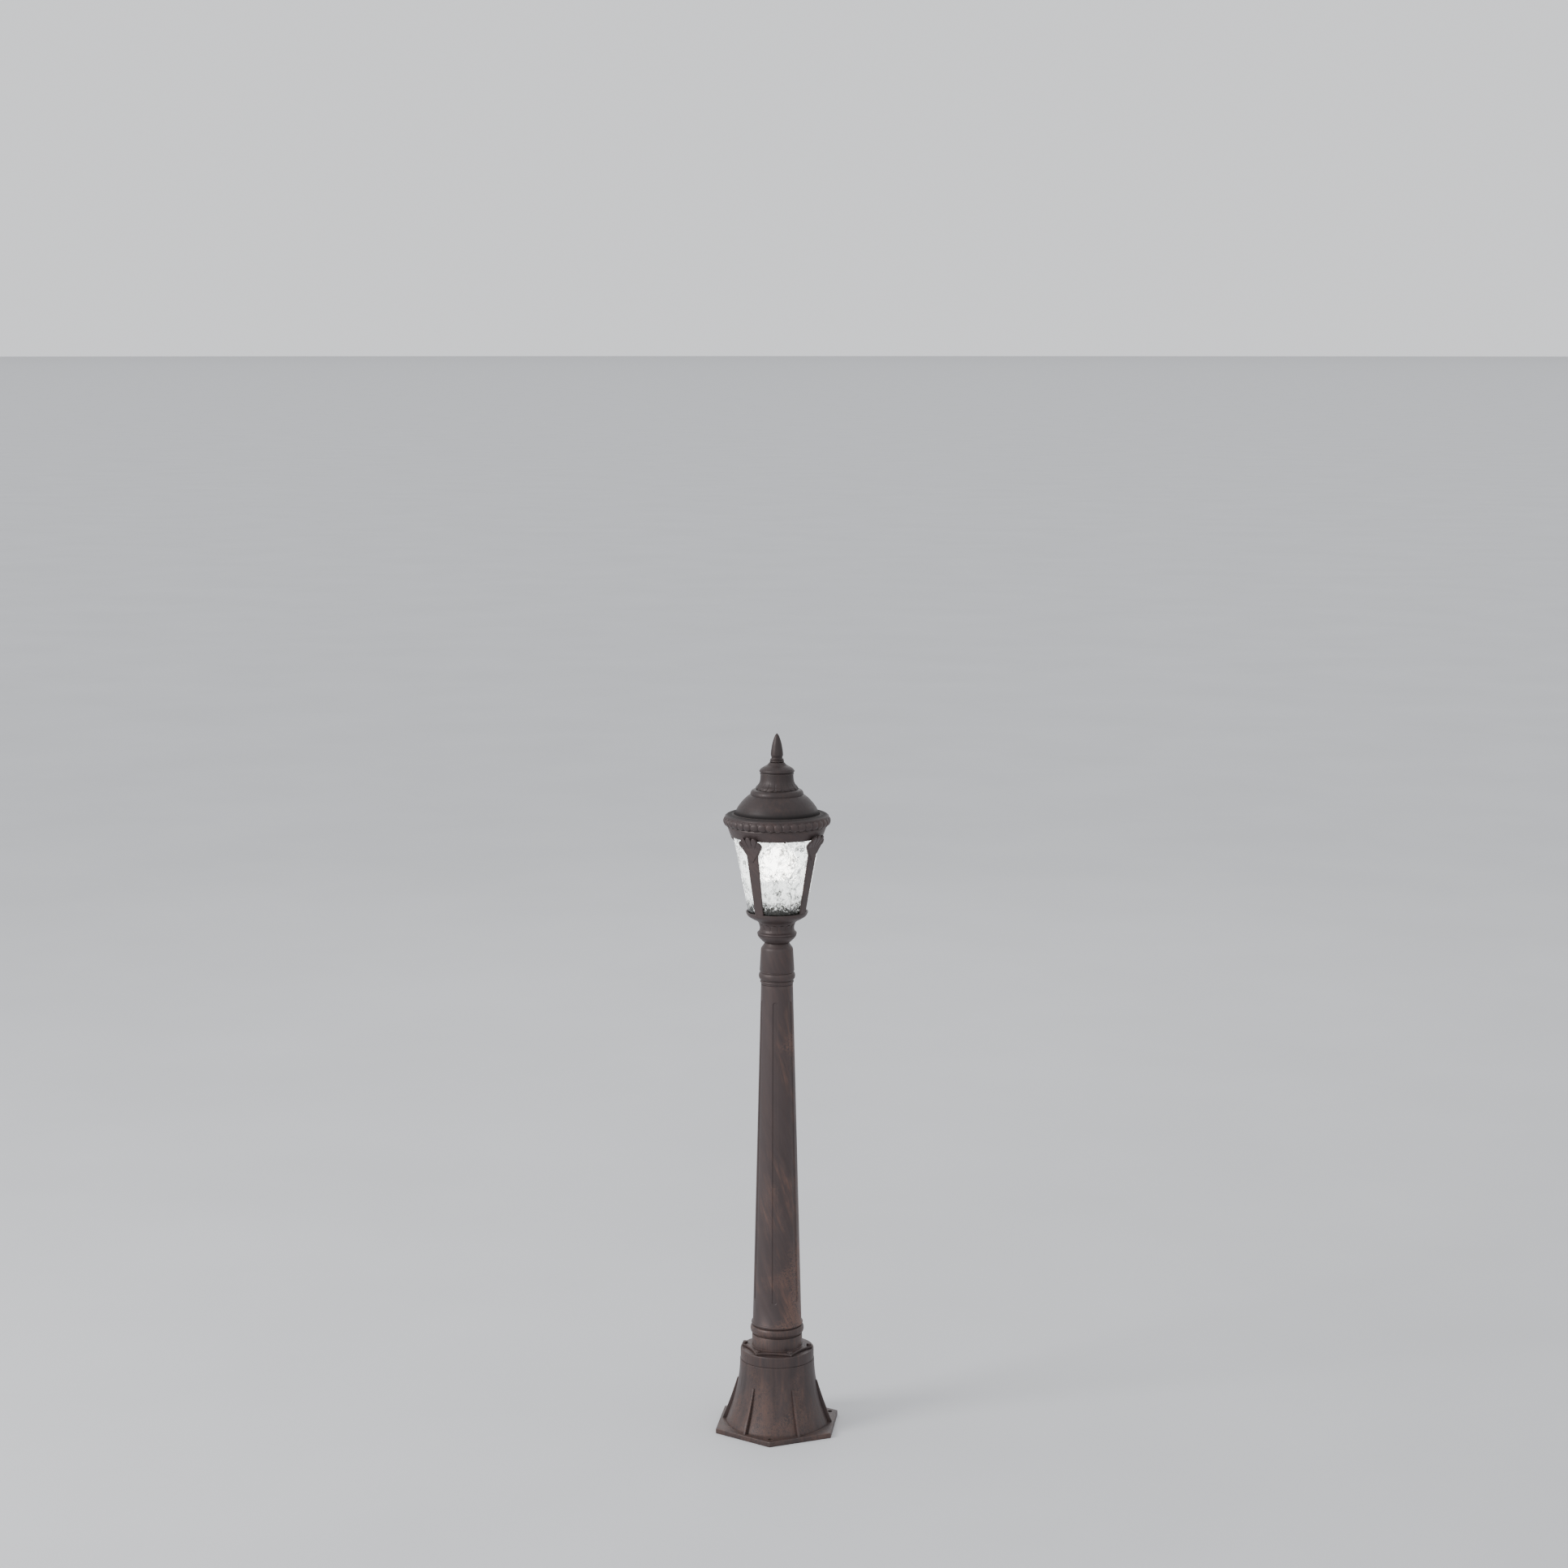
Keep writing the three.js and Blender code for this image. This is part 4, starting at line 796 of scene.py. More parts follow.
class LAMP_OT_collar(bpy.types.Operator):
    """Makes the collar on the bell and the six bolts of the flange"""

    bl_idname = "lamp.collar"
    bl_label = "Collar and bolts"

    def execute(self, context):
        sizes = context.scene.lamp_base
        low, high = ends_of("base_collar")
        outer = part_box("base_collar")[1].x * 1000
        line = points([outer, low], [outer, high], [40, high], [40, low])
        look = finish("base_patina")
        line = softened(line, [0.5, 2.2, 1, 0.5], 5)
        round_piece("collar", line, 144, look, "post", "base_collar")
        head_tall = 3.3
        for i, direction in enumerate(FINS):
            node = f"flange_bolt_{i + 1}"
            under, high = ends_of(node)
            centre = placed(np.array(direction), sizes.bolt_circle, 0)
            shell = bolt_shell(centre, high - head_tall, high, under)
            piece(f"bolt_{i + 1}", [shell], look, "post", [node], 25)
        return {"FINISHED"}


def flange_reach(direction):
    """The flange's edge: it swings between its corners at the bolts and its hollow sides, by a
    power of how near a corner is."""
    swing = np.abs((direction % 60) / 60 - 0.5) * 2
    return 50 + 11 * swing**2.2 * (1 - 0.02 * swing)


def post_foot_shell():
    """The flange's rows follow its edge, and the tube's rows are round."""
    low, high = ends_of("post_foot")
    top, floor = low + 4, low + 6
    directions = round_about(6 * 30)
    flange = points([0, low], [0, top], [20, top], [20, low])
    flange = softened(flange, [0.6, 1.0, 0.1, 0.1], 4)
    edge = flange[flange[:, 0] < 4]
    rim = flange_reach(directions)[None, :] - edge[:, :1]
    walls = points([43.6, top], [43.0, top + 0.5], [42.9, top + 1.2], [42.9, high - 0.7])
    lip = points([42.5, high - 0.15], [41.8, high], [POST_BORE, high])
    tube = np.concatenate([walls, lip, points([POST_BORE, floor], [31, floor], [31, low])])
    round_rows = np.broadcast_to(tube[:, :1], (len(tube), len(directions)))
    radius = np.concatenate([rim, round_rows])
    height = np.concatenate([edge[:, 1:], tube[:, 1:]])
    return placed(directions[None, :], radius, height), True


def ring_line(low, high, shoulder, bulge, groove, bore):
    """A ring's profile: a groove, a bead that stands out by bulge, and a groove."""
    middle, half = (low + high) / 2, (high - low) / 2 - groove
    bead = arc(shoulder, middle, bulge, half, -84, 84, 18)
    feet = points([shoulder - 0.9, low], [shoulder - 0.9, low + groove * 0.8])
    heads = points([shoulder - 0.9, high - groove * 0.8], [shoulder - 0.9, high])
    return np.concatenate([feet, bead, heads, points([bore, high], [bore, low])])


class LAMP_OT_post_foot(bpy.types.Operator):
    """Makes the flanged foot of the post and the ring above it"""

    bl_idname = "lamp.post_foot"
    bl_label = "Post foot"

    def execute(self, context):
        look = finish("base_patina")
        piece("foot", [post_foot_shell()], look, "post", ["post_foot"])
        low, high = ends_of("foot_ring")
        line = ring_line(low, high, 42.2, 3.5, 1.6, POST_BORE)
        round_piece("ring_at_foot", line, 144, look, "post", "foot_ring")
        return {"FINISHED"}


# --- Shaft ---------------------------------------------------------------------------------


def shaft_line():
    """The shaft's closed profile in true heights: spigot, lip, straight taper, spigot, bore."""
    sizes = bpy.context.scene.lamp_shaft
    foot, top = sizes.foot_radius, sizes.top_radius
    base, end = head_of("foot_ring") + SEAT_GAP, foot_of("shaft_top_ring") - SEAT_GAP
    low, tip = ends_of("shaft")
    outside = [[36, low], [36, base], [42.8, base], [43.6, base + 0.5]]
    outside += [[44, base + 1.4], [44, base + 3.0], [43.4, base + 4.1], [42.3, base + 4.6]]
    outside += [[foot, base + 5.4], [top, end], [SPIGOT, end], [SPIGOT, tip]]
    inside = [[15, tip], [15, end - 5], [22, end - 15], [31, base + 5], [31, low]]
    return np.array(outside + inside, float)


FLUTES = 225, 747  # heights between which the flutes run


def flute_relief(direction, radius, height):
    """Six long slots with round ends: the cut is full inside the slot and fades to nothing over
    a narrow edge, by the distance from the slot's middle line."""
    sizes = bpy.context.scene.lamp_shaft
    half, edge = sizes.flute_width / 2, 1.1
    first, last = FLUTES[0] + half, FLUTES[1] - half
    step = 360 / sizes.flute_count
    aside = np.radians((direction + step / 2 - 30) % step - step / 2) * radius
    along = np.maximum(0, np.maximum(first - height, height - last))
    inside = half - np.hypot(aside, along)
    fade = np.clip(inside / edge, 0, 1)
    outer = radius > sizes.top_radius - 1
    return np.where(outer, -sizes.flute_depth * fade * fade * (3 - 2 * fade), 0.0)


def shaft_shell():
    """The shaft: its profile gets fine rows where the flutes end and fine columns where they
    run, and is carried round the axis with the flutes cut in."""
    line = shaft_line()
    low, high = FLUTES
    low_end, high_end = np.arange(low - 3, low + 9, 0.5), np.arange(high - 9, high + 3, 0.5)
    fine = np.concatenate([low_end, np.arange(low + 9, high - 9, 8.0), high_end])
    foot, top = line[8], line[9]
    share = ((fine - foot[1]) / (top[1] - foot[1]))[:, None]
    line = np.concatenate([line[:9], foot + (top - foot) * share, line[9:]])
    sector = np.concatenate([[-30, -24, -18], np.arange(-12, 12.01, 0.5), [18, 24]])
    directions = (30 + np.arange(6)[:, None] * 60 + sector[None, :]).ravel()
    return turned(line, directions, relief=flute_relief), True


def top_ring_line():
    """The ring on the shaft: a small bead, a groove, a large bead and a plain band."""
    base, high = rise_of("shaft_top_ring")
    low_bead = arc(26.3, 4.6, 2.2, 2.6, -70, 70, 10)
    bead = arc(27.8, 14.5, 3.0, 6.0, -80, 80, 16)
    line = [points([26.6, 0], [27.2, 0.5]), low_bead, points([27.0, 7.6], [27.0, 8.3])]
    line += [bead, points([27.9, 20.9], [28.2, 21.6], [28.0, high])]
    return np.concatenate([*line, points([SPIGOT_BORE, high], [SPIGOT_BORE, 0])]) + [0, base]


def sleeve_line():
    """The sleeve: a straight taper under a rounded shoulder, hollow below its ceiling."""
    base, high = rise_of("neck_sleeve")
    foot = points([28.6, 0], [29.2, 0.3], [29.4, 0.9])
    shoulder = points([27.3, high - 12], [26.5, high - 8.5], [23.2, high - 4], [20.8, high])
    ceiling = high - 19
    inside = points([NIPPLE_BORE, high], [NIPPLE_BORE, ceiling])
    bore = points([SPIGOT_BORE, ceiling], [SPIGOT_BORE, 0])
    return np.concatenate([foot, flowing(shoulder, 22), inside, bore]) + [0, base]


class LAMP_OT_shaft(bpy.types.Operator):
    """Makes the fluted shaft, the ring on its top and the sleeve above it"""

    bl_idname = "lamp.shaft"
    bl_label = "Shaft"

    def execute(self, context):
        look = finish("shaft_patina")
        piece("fluted_shaft", [shaft_shell()], look, "post", ["shaft"], sharp=60)
        look = finish("neck_patina")
        round_piece("ring_at_top", top_ring_line(), 128, look, "post", "shaft_top_ring")
        round_piece("sleeve", sleeve_line(), 128, look, "post", "neck_sleeve")
        return {"FINISHED"}


# --- Lantern body --------------------------------------------------------------------------


PEDESTAL_LOBES, ROOF_LOBES = 14, 18


def lobe_grooves(count, direction, level, start, rounding, fading):
    """How deep the narrow grooves between upright lobes are, from 0 to 1. level is 0 at the
    lobes' round ends, where the grooves open out round a half circle on each lobe, and 1 where
    they have faded by a power of what is left."""
    step = 360 / count
    aside = np.abs((direction + step / 2) % step - step / 2) / (step / 2)
    ending = np.clip((level - start) / rounding, 0, 1)
    edge = np.sqrt(np.clip(1 - (1 - ending) ** 2, 0, 1))
    inside = np.clip((edge - aside) * 5, 0, 1)
    return (1 - inside) * np.clip(1 - level, 0, 1) ** fading


def pedestal_lobes(direction, radius, height):
    """Lobes on the pedestal's neck, with their round heads under its top."""
    top, tall = head_of("lantern_pedestal") - 0.6, 11
    below = np.clip((top - height) / tall, 0, 1)
    deep = lobe_grooves(PEDESTAL_LOBES, direction, below, 0, 0.4, 0.5)
    return np.where((height < top + 2) & (below < 1) & (radius > 20), -deep, 0.0)


def pedestal_line():
    """The pedestal: a knop, a groove, a round bead and a hollow neck that flares at its top."""
    base, high = rise_of("lantern_pedestal")
    knop = flowing(points([20.8, 0], [25, 3.2], [30.2, 8.6], [32.8, 12.6]), 20)
    groove = points([32.7, 13.1], [32.1, 13.5])
    bead = arc(30.8, 16, 2.6, 2.6, -60, 60, 12)
    neck = flowing(points([30.2, 20.2], [29.0, 24], [29.4, 29], [31, high]), 36)
    inside = points([NIPPLE_BORE, high], [NIPPLE_BORE, 0])
    return np.concatenate([knop, groove, bead, neck, inside]) + [0, base]


def bowl_line():
    """The bowl: a shallow curve out to its lip, a seat inside for the glass, and a thin floor."""
    base, high = rise_of("lantern_bowl")
    rim = bpy.context.scene.lamp_lantern.rim_radius
    curve = points([31, 0], [34, 3.8], [42, 8], [48.6, 12.2], [51.3, 16.2], [rim, high - 0.6])
    lip = points([rim - 0.2, high - 0.2], [rim - 0.8, high], [49.9, high], [49.3, high - 0.5])
    seat = points([49.3, 14.7], [44.5, 14.7], [44.5, 12.2])
    floor = points([38.8, 8.6], [31.5, 4], [NIPPLE_BORE, 4], [NIPPLE_BORE, 0])
    return np.concatenate([flowing(curve, 36), lip, seat, floor]) + [0, base]


class LAMP_OT_lantern_foot(bpy.types.Operator):
    """Makes the lobed pedestal and the bowl of the lantern"""

    bl_idname = "lamp.lantern_foot"
    bl_label = "Pedestal and bowl"

    def execute(self, context):
        turn, look = context.scene.lamp_lantern.turn, finish("neck_patina")
        round_piece(
            "pedestal", pedestal_line(), PEDESTAL_LOBES * 20, look, "post", "lantern_pedestal",
            turn=turn, relief=pedestal_lobes,
        )
        round_piece("bowl", bowl_line(), 144, look, "post", "lantern_bowl", turn=turn)
        return {"FINISHED"}


def glass_radius(height):
    """The glass's outer radius at a height above the bowl's rim."""
    sizes = bpy.context.scene.lamp_lantern
    return sizes.glass_foot + (sizes.glass_top - sizes.glass_foot) * height / 130


def ripple(direction, height):
    """Waves on the glass: sums of sines whose phases bend with the direction and the height."""
    a, z = np.radians(direction), height / 10
    bend = 1.3 * np.sin(7 * a + 0.9 * z) + 0.9 * np.sin(13 * a - 1.7 * z + 1.1)
    first = np.sin(17 * a + 1.3 * z + bend)
    second = np.sin(-29 * a + 2.9 * z + 1.6 * bend + 0.7)
    third = np.sin(41 * a + 4.3 * z - 1.2 * bend + 2.1)
    return (first + second + 0.7 * third) / 2.7


class LAMP_OT_glass(bpy.types.Operator):
    """Makes the wavy glass shade and the seal under it"""

    bl_idname = "lamp.glass"
    bl_label = "Glass shade"

    def execute(self, context):
        sizes = context.scene.lamp_lantern
        low, high = ends_of("glass_shade")
        rim, wall = head_of("lantern_bowl"), 2.4
        rise = np.linspace(low + 0.6, high - 0.6, 120) - rim
        outside = np.column_stack([glass_radius(rise) - 0.3, rise + rim])
        foot = points([outside[0, 0] - 1.5, low], [outside[0, 0] - 0.6, low + 0.1])
        head = points([outside[-1, 0] - 0.6, high - 0.1], [outside[-1, 0] - 1.5, high])
        inside = (outside - [wall, 0])[::-1]
        line = np.concatenate([foot, outside, head, inside])

        def waves(direction, radius, height):
            outer = radius > glass_radius(height - rim) - 0.8
            return np.where(outer, sizes.glass_wave * (ripple(direction, height) - 0.6), 0.0)

        shade = turned(line, round_about(360), 0, sizes.turn, waves), True
        piece("shade", [shade], finish("wavy_glass"), "post", ["glass_shade"], 50)
        low, high = ends_of("glass_gasket")
        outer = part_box("glass_gasket")[1].y * 1000
        seal = points([outer, low], [outer, high], [outer - 3.5, high], [outer - 3.5, low])
        look = finish("seal_rubber")
        round_piece("seal", softened(seal, 0.4), 96, look, "post", "glass_gasket")
        return {"FINISHED"}


def strap_back(height):
    """The radius of a strap's back at a height above the rim: along the glass, then out to the
    frieze's face."""
    levels = np.array([0.3, 116.0, 127.5, 136.0])
    bend, lip = glass_radius(levels[1]) + 0.7, 78.8
    reach = np.array([glass_radius(levels[0]) + 0.7, bend, lip, 83.2])
    return np.interp(height, levels, reach)


def bar_shell(turn):
    """A strap's bar: a rounded flat section carried up the glass, widening to its head."""
    thick = bpy.context.scene.lamp_lantern.strap_thickness
    rise = np.concatenate([[0.3, 0.5, 1.0], np.linspace(2, 112, 40), [113.5, 114.5]])
    wide = np.interp(rise, [0, 98, 106, 114.5], [8, 11.2, 11.2, 7])
    across, out = oval(1, 0.5, 40, 0.35)
    reach = strap_back(rise)[:, None] + thick * (0.5 + out[None, :])
    height = np.broadcast_to(rise[:, None] + head_of("lantern_bowl"), reach.shape)
    grid = np.stack([reach, wide[:, None] * across[None, :], height], -1)
    return closed_ends(facing(grid, turn)), False


def leaf_edge(count):
    """A leaf's edge, from its top round and back, about a point above its root: a line through
    the tips of its five lobes, the notches between them, and the point at its foot."""
    tall = bpy.context.scene.lamp_lantern.leaf_reach / 32
    middle_lobe = points([0, 32], [2.9, 31.2], [4.7, 28.8], [5.7, 26.2])
    side_lobe = points([6.8, 28.4], [9.0, 30.7], [12.0, 30.7], [14.9, 28.0], [16.5, 23.4])
    low_lobe = points([18.6, 23.8], [21.2, 20.8], [22.4, 17.0], [20.6, 13.6])
    foot = points([16, 7], [11.2, 0], [5.6, -6.5], [0, -13])
    right = np.concatenate([middle_lobe, side_lobe, low_lobe, foot])
    left = right[-2:0:-1] * [-1, 1]
    line = flowing(np.concatenate([right, left, right[:1]]), count)[:-1]
    return line * [1, tall]


def leaf_grooves(across, rise):
    """Four grooves that run from the notches towards the leaf's root and fade on the way."""
    depth = 0.0
    for notch in points([5.7, 26.2], [-5.7, 26.2], [16.5, 23.4], [-16.5, 23.4]):
        way = notch / np.linalg.norm(notch)
        aside = across * way[1] - rise * way[0]
        along = (across * way[0] + rise * way[1]) / np.linalg.norm(notch)
        depth = depth + np.exp(-((aside / 0.8) ** 2)) * np.clip((along - 0.35) / 0.4, 0, 1)
    return depth


def leaf_shell(turn):
    """A strap's leaf: rows at growing shares of the way from its middle to its edge, its front
    swelling along the lobes, grooved between them, and rounded down at its edge."""
    thick = bpy.context.scene.lamp_lantern.strap_thickness
    edge, middle, root = leaf_edge(240), 6.0, 104
    share = np.concatenate([np.linspace(0.04, 0.94, 24), [0.97, 0.99, 1.0, 1.0]])[:, None]
    across = edge[None, :, 0] * share
    rise = middle + (edge[None, :, 1] - middle) * share
    crowned = np.sqrt(np.clip((1 - share) / 0.08, 0, 1))
    swell = 1.3 + 0.5 * np.clip(rise / 30, 0, 1) - 1.1 * leaf_grooves(across, rise)
    front = thick + np.minimum(swell, 1.8) * crowned - 0.6 * (1 - crowned)
    height = root + rise
    back = strap_back(height)
    level = height + head_of("lantern_bowl")
    front_grid = np.stack(np.broadcast_arrays(back + front, across, level), -1)
    back_grid = np.stack(np.broadcast_arrays(back + 0.15, across, level), -1)
    grid = np.concatenate([front_grid, back_grid[::-1]])
    return closed_ends(facing(grid, turn)), False


class LAMP_OT_cage(bpy.types.Operator):
    """Makes the four leaf-headed straps, the frieze and the clips of the glass"""

    bl_idname = "lamp.cage"
    bl_label = "Cage and frieze"

    def execute(self, context):
        turn, look = context.scene.lamp_lantern.turn, finish("cage_patina")
        for i, direction in enumerate(round_about(4)):
            way = direction + math.degrees(turn)
            node = f"cage_strap_{i + 1}"
            shells = [bar_shell(way), leaf_shell(way)]
            piece(f"strap_{i + 1}", shells, look, "post", [node], sharp=32)
        low, high = ends_of("frieze_ring")
        line = points([75.4, low], [76.4, low], [77.9, low + 1.6], [83.0, high], [75.4, high])
        line = softened(line, [0.3, 0.6, 1.2, 0.5, 0.3], 4)
        round_piece("frieze", line, 144, look, "post", "frieze_ring", turn=turn)
        for i, direction in enumerate(round_about(4) + 45):
            node = f"glass_clip_{i + 1}"
            low, high = ends_of(node)
            across, out = oval(1.7, 0.45, 20, 0.4)
            rise = np.array([low, low + 0.3, high - 0.3, high])[:, None]
            trim = np.array([0.8, 1, 1, 0.8])[:, None]
            parts = np.broadcast_arrays(74.65 + out[None, :], across[None, :] * trim, rise)
            grid = facing(np.stack(parts, -1), direction + math.degrees(turn))
            piece(f"clip_{i + 1}", [(closed_ends(grid), False)], look, "post", [node])
        return {"FINISHED"}


# --- Roof ----------------------------------------------------------------------------------

BRIM_RADIUS, BRIM_TUBE = 79.0, 11.2  # the brim's rolled tube: its middle circle and its radius


def brim_shell(turn):
    """The rolled brim. On its outer lower face the tube is drawn in, and beads stand on it: each
    bead's height falls off as a half ellipse about its middle."""
    sizes = bpy.context.scene.lamp_lantern
    base, high = ends_of("bead_ring")
    centre, wall = base + BRIM_TUBE - 1, 3.5
    around = np.concatenate([np.linspace(-62, 44, 52), np.linspace(47, 118, 20)])
    inner = np.linspace(112, -66, 24)
    directions = round_about(sizes.bead_count * 16)
    step = 360 / sizes.bead_count
    aside = ((directions + step / 2) % step - step / 2) / (step / 2)
    along = (around + 12) / 49
    off = np.abs(along[:, None]) ** 2.2 + np.abs(aside[None, :] * 0.97) ** 2.2
    bead = np.sqrt(np.clip(1 - off, 0, 1))
    zone = np.clip((46 - around) / 14, 0, 1)[:, None]
    tube = BRIM_TUBE - sizes.bead_depth * (1 - bead) * zone
    angle = np.radians(around)[:, None]
    outer_radius, outer_height = BRIM_RADIUS + tube * np.cos(angle), centre + tube * np.sin(angle)
    inner_angle = np.radians(inner)[:, None] + 0 * aside[None, :]
    inner_radius = BRIM_RADIUS + (BRIM_TUBE - wall) * np.cos(inner_angle)
    inner_height = centre + (BRIM_TUBE - wall) * np.sin(inner_angle)
    row = np.ones((1, len(directions)))
    foot, seat = (81.3, 83.9), 72.0
    radius = [foot[0] * row, foot[1] * row, outer_radius, seat * row, seat * row, inner_radius]
    height = [base * row, base * row, outer_height, high * row, (high - wall) * row, inner_height]
    radius, height = np.concatenate(radius), np.clip(np.concatenate(height), base, high + 8)
    return placed(directions[None, :] + math.degrees(turn), radius, height), True


def dome_line():
    """The dome draws in towards its crown as a power of its height, under a rounded step."""
    base, high = rise_of("roof_dome")
    crown = high - 9.2
    level = np.sin(np.linspace(0, math.pi / 2, 40))
    dome = np.column_stack([46.1 + 25.4 * (1 - level**1.6) ** 0.9, (crown - 0.6) * level])
    step = arc(36.6, crown + 1.2, 8.0, 8.0, -8, 74, 14)
    roll = points([45.2, crown - 0.4], [44.5, crown + 0.1])
    outside = [dome[:-1], roll, step, points([37.4, high - 0.1], [36.6, high])]
    inner = np.column_stack([43.6 + 24.9 * (1 - level**1.6) ** 0.9, (crown - 3) * level])[::-1]
    inside = [points([26.6, high], [26.6, high - 3], [37.6, high - 4]), inner]
    return np.concatenate(outside + inside) + [0, base]


def neck_line():
    """The roof's neck: a hollow curve that flares to the dome, with a wall of one thickness."""
    base, high = rise_of("roof_neck")
    outside = flowing(points([36.6, 0], [34.8, 3.7], [31.2, 7.7], [28.5, 14], [27.6, high]), 44)
    wall = 3
    return np.concatenate([outside, (outside - [wall, 0])[::-1]]) + [0, base]


def neck_lobes(direction, radius, height):
    """Lobes on the outer face of the roof's neck, with their round feet on the dome."""
    rise, tall = height - foot_of("roof_neck"), 14
    mid_wall = np.interp(rise, [0, 3.7, 7.7, 14, 25], [35.5, 33.5, 30.0, 27.3, 26.5])
    deep = lobe_grooves(ROOF_LOBES, direction, rise / tall, 0.03, 0.3, 0.6)
    return np.where(radius > mid_wall, -deep, 0.0)


def knob_line():
    """The knob cap: a stepped foot, a rolled edge and a low cone, hollow from below."""
    base, high = rise_of("roof_knob")
    foot = points([28, 0], [28.5, 0.8], [28.4, 1.8], [27.7, 2.6], [27.8, 3.2])
    edge = arc(27.4, 5.2, 2.2, 1.9, -70, 60, 12)
    crown = flowing(points([28.4, 7.4], [27.0, 9.0], [22.4, 12.2], [16.2, 15.6], [12.6, high]), 26)
    inside = points([STUD_BORE, high], [STUD_BORE, 9.5], [24.6, 4], [24.6, 0])
    return np.concatenate([foot, edge, crown, inside]) + [0, base]


class LAMP_OT_roof(bpy.types.Operator):
    """Makes the beaded brim, the dome, the lobed neck, the knob and the finial's washer"""

    bl_idname = "lamp.roof"
    bl_label = "Roof"

    def execute(self, context):
        turn, look = context.scene.lamp_lantern.turn, finish("roof_patina")
        brim = finish("brim_patina")
        piece("brim", [brim_shell(turn)], brim, "roof", ["bead_ring"])
        round_piece("dome", dome_line(), 160, look, "roof", "roof_dome", turn=turn)
        round_piece(
            "neck", neck_line(), ROOF_LOBES * 16, look, "roof", "roof_neck",
            turn=turn, relief=neck_lobes,
        )
        round_piece("knob", knob_line(), 128, look, "roof", "roof_knob", turn=turn)
        low, high = ends_of("finial_washer")
        edge = arc(10.5, (low + high) / 2, 1.7, 1.7, -90, 90, 12)
        line = np.concatenate([edge, points([STUD_BORE, high], [STUD_BORE, low])])
        round_piece("washer", line, 96, look, "roof", "finial_washer")
        return {"FINISHED"}


class LAMP_OT_finial(bpy.types.Operator):
    """Makes the pointed finial that screws down on the roof, and its threaded insert"""

    bl_idname = "lamp.finial"
    bl_label = "Finial"

    def execute(self, context):
        base, tall = rise_of("finial")
        foot = points([11.2, 0], [11.4, 1.4], [9.5, 2.8], [9.3, 4.6], [9.9, 6.5], [10.5, 8.3])
        spear = points([10.5, 8.3], [10.1, 14], [9.2, 20], [7.5, 28.8], [3.7, 40.3], [0, tall])
        outside = [flowing(foot, 26)[:-1], flowing(spear, 44)]
        inside = points([0, 20.6], [7.5, 20.6], [7.5, 0])
        line = np.concatenate([*outside, inside]) + [0, base]
        round_piece("finial_spear", line, 96, finish("roof_patina"), "finial", "finial")
        low, high = ends_of("finial_insert")
        rise = np.linspace(low, high, 60)
        wall = np.column_stack([np.full(60, 6.6), rise])
        thread = np.column_stack([4.3 + 0.12 * np.cos(2 * np.pi * rise / STUD_PITCH), rise])
        line = np.concatenate([wall, thread[::-1]])
        look = finish("contact_brass")
        round_piece("insert", line, 48, look, "finial_insert", "finial_insert")
        return {"FINISHED"}


# --- Light and fixings ---------------------------------------------------------------------


class LAMP_OT_bulb(bpy.types.Operator):
    """Makes the bulb: its screw cap, body and milky dome"""

    bl_idname = "lamp.bulb"
    bl_label = "Bulb"

    def execute(self, context):
        low, high = ends_of("bulb_cap")
        rise = np.linspace(5, high - low - 3, 60)
        thread = np.column_stack([12.6 - 0.45 * np.cos(2 * np.pi * rise / CAP_PITCH), rise])
        line = np.concatenate([points([5.0, 0], [11.6, 4]), thread, points([12.6, high - low])])
        shell = closed_ends(turned(line, round_about(64), low)), False
        piece("screw_cap", [shell], finish("cap_nickel"), "bulb", ["bulb_cap"])
        low, high = ends_of("bulb_body")
        line = flowing(points([14.2, 0], [14.6, 8], [18.1, 20], [BULB_NECK, high - low]), 30)
        shell = closed_ends(turned(line, round_about(64), low)), False
        piece("bulb_shell", [shell], finish("bulb_plastic"), "bulb", ["bulb_body"])
        base, big, small = foot_of("bulb_dome"), 30.0, 29.0
        centre = math.sqrt(big**2 - BULB_NECK**2)
        start, end = math.acos(BULB_NECK / big), math.asin(centre / small)
        outside = arc(0, centre, big, big, -math.degrees(start), 90, 30)
        inside = arc(0, centre, small, small, 90, -math.degrees(end), 30)
        outside[-1, 0] = inside[0, 0] = 0
        shell = turned(np.concatenate([outside, inside]), round_about(64), base), True
        piece("milk_dome", [shell], finish("lamp_glow"), "bulb", ["bulb_dome"])
        return {"FINISHED"}


# The finish of the frame's own nodes, by how a name starts. The longest match holds.
FIXING_FINISHES = {
    "strap_screw_": "fixing_steel",
    "roof_bridge": "fixing_steel",
    "bridge_screw_": "fixing_steel",
    "roof_stud": "fixing_steel",
    "stud_nut_": "fixing_steel",
    "cable_nipple": "fixing_steel",
    "nipple_nut_": "fixing_steel",
    "lampholder_contact": "contact_brass",
    "bulb_contact": "contact_brass",
    "lampholder": "holder_porcelain",
    "bulb_light_board": "bulb_plastic",
    "terminal_block": "holder_porcelain",
    "terminal_screw": "fixing_steel",
    "earth_screw": "contact_brass",
    "earth_wire": "earth_sleeve",
    "lamp_lead": "lead_sheath",
}


class LAMP_OT_fixings(bpy.types.Operator):
    """Gives the frame's own screws, nuts, bridge, leads and lampholder their finishes"""

    bl_idname = "lamp.fixings"
    bl_label = "Fixings"

    def execute(self, context):
        for name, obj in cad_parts.items():
            if obj.hide_render:
                continue
            match = [key for key in FIXING_FINISHES if name.startswith(key)]
            if not match:
                raise RuntimeError(f"{name} has no finish")
            look = finish(FIXING_FINISHES[max(match, key=len)])
            for slot in obj.material_slots:
                slot.material = look
        return {"FINISHED"}


# --- Stage ---------------------------------------------------------------------------------


